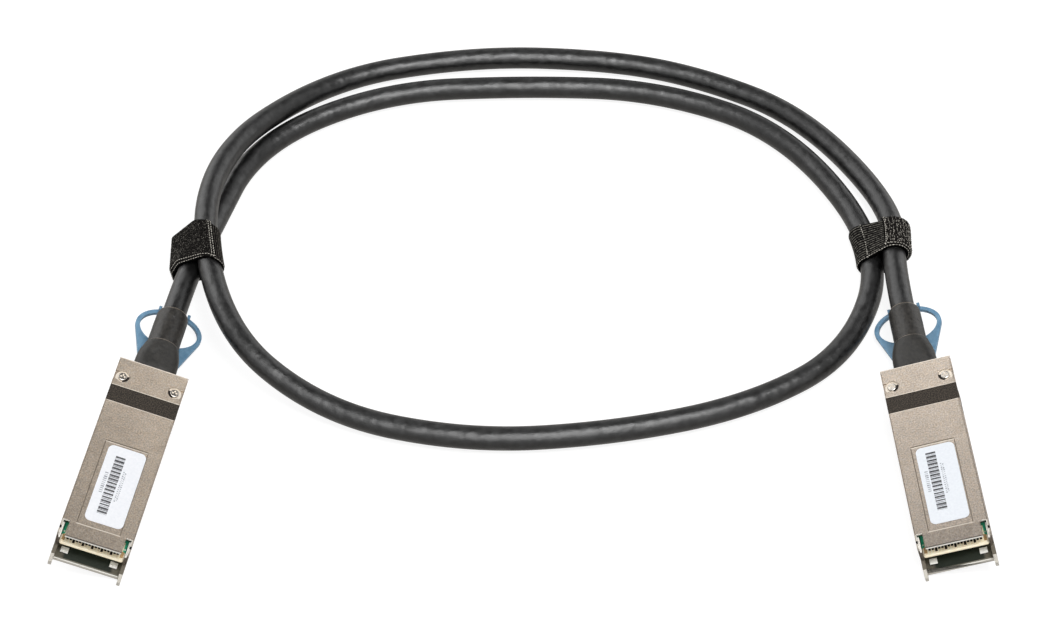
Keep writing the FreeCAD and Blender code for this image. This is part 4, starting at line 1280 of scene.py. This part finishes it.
def lofted(name, sections, side, hollow=False, count=72):
    """A skin through rings: each section is (y, half width, half height, power).

    A hollow skin runs back inside itself, and its last ring is joined to its first one."""
    work = bmesh.new()
    rings = []
    for y, half_width, half_height, power in sections:
        ring = superellipse(half_width, half_height, power, count)
        rings.append([work.verts.new((x, y, BOOT_AXIS + z)) for x, z in ring])
    for low, high in zip(rings, rings[1:] + rings[:1] if hollow else rings[1:]):
        for k in range(count):
            m = (k + 1) % count
            work.faces.new((low[k], high[k], high[m], low[m]))
    if not hollow:
        work.faces.new(rings[0])
        work.faces.new(list(reversed(rings[-1])))
    bmesh.ops.recalc_face_normals(work, faces=work.faces)
    for face in work.faces:
        face.smooth = len(face.verts) == 4
    mesh = finished(work, name)
    mesh.transform(place[side])
    mesh.set_sharp_from_angle(angle=math.radians(50))
    return mesh


def rubber_finish(name, side, dark, light, rough, dents, edge):
    """Rubber or shrunk sleeve, with a painted highlight: a pale line where its rim turns over."""
    made, tree, shader = blank_finish(name, specular=0.38)
    where = on_object(tree)
    slow = noise(where, 260.0, 3.0)
    clouds = noise(where, 900.0, 4.0)
    grain = noise(where, 5200.0, 2.0)
    _, along, _ = axes(on_plug(tree, side))
    # Painted highlight along the rim where it turns over.
    rim_highlight = both(band(along, *edge), remap(slow, 0.3, 0.6, 0.25, 1.0))
    tone = mixed(rim_highlight, toned(clouds, dark, light, 0.32, 0.72), seen(126, 116, 104))
    relief = bump(grain, 0.00005, 0.5, bump(slow, dents, 0.5))
    paint(tree, shader, tone, swing(clouds, rough - 0.06, rough + 0.06), relief)
    return made


BOOT_SECTIONS = [
    (0.02, 5.30, 4.15, 3.6), (0.10, 5.58, 4.32, 3.6), (0.40, 5.68, 4.40, 3.6), (2.0, 5.69, 4.40, 3.5),
    (4.0, 5.66, 4.42, 3.3), (5.2, 5.58, 4.46, 3.1), (6.2, 5.44, 4.52, 2.9), (7.1, 5.22, 4.58, 2.7),
    (7.9, 4.98, 4.62, 2.5), (8.6, 4.80, 4.64, 2.3), (9.1, 4.71, 4.64, 2.15), (9.40, 4.66, 4.62, 2.05),
    (9.58, 4.58, 4.56, 2.0), (9.67, 4.46, 4.46, 2.0), (9.70, 4.30, 4.30, 2.0), (9.71, 3.7, 3.7, 2.0),
]
SLEEVE_SECTIONS = [(y, half_width, half_height, 2.0) for y, half_width, half_height in (
    (9.55, 4.2, 4.2), (10.4, 4.25, 4.25), (12.0, 4.27, 4.25), (13.6, 4.25, 4.25), (15.4, 4.27, 4.26),
    (17.0, 4.25, 4.25), (18.6, 4.24, 4.24), (19.6, 4.18, 4.18), (20.2, 4.05, 4.05),
    (20.6, 3.85, 3.85), (20.82, 3.66, 3.66), (20.9, 3.5, 3.5), (20.88, 3.35, 3.35),
    (20.7, 3.22, 3.22), (19.0, 3.2, 3.2), (9.55, 3.2, 3.2))]
for side in PLUGS:
    boot_rubber = rubber_finish(side + "_boot_rubber", side, seen(24, 23, 21), seen(42, 40, 37),
                                0.5, 0.0009, (9.42, 9.66))
    sleeve_plastic = rubber_finish(side + "_sleeve_plastic", side, seen(27, 25, 23),
                                   seen(47, 44, 40), 0.42, 0.0012, (20.35, 20.8))
    boot = lofted(side + "_boot", BOOT_SECTIONS, side)
    plug_piece(side, "boot", boot, boot_rubber, "strain_relief")
    sleeve = lofted(side + "_sleeve", SLEEVE_SECTIONS, side, hollow=True)
    plug_piece(side, "sleeve", sleeve, sleeve_plastic, "boot_sleeve")
    print(side, "boot and sleeve:", len(boot.polygons), "and", len(sleeve.polygons), "faces")

# %% [markdown]
# ## The pull ring
# The blue ring is moulded round the end of the latch slider, so it moves with the latch and not with
# the plug. Moulded nylon has soft edges and a satin skin. A rounded copy of the solid keeps its true
# outline and only changes the edges, where the light shows.

# %% The pull ring
ring_blue, tree, shader = blank_finish("ring_blue", specular=0.45)
clouds = noise(on_object(tree), 500.0, 3.0)
grain = noise(on_object(tree), 4800.0, 2.0)
paint(tree, shader, toned(clouds, seen(94, 136, 167), seen(122, 161, 189)),
      swing(clouds, 0.36, 0.46), bump(grain, 0.00005, 0.4))
shader.inputs["Subsurface Weight"].default_value = 0.05
shader.inputs["Subsurface Radius"].default_value = (0.0006, 0.0008, 0.001)
NUB_TOP = 0.7


def short_nubs(spot):
    """The two nubs end a little above the ring's plate."""
    spot.z = min(spot.z, NUB_TOP)


for side in PLUGS:
    ring = eased_copy(side, "pull_tab", 0.34, 3, True, short_nubs)
    piece(side + "_pull_ring", ring, side + "_latch", ring_blue,
          (side + "_pull_tab",))
    print(side, "pull ring:", len(ring.polygons), "faces on body", side + "_latch")
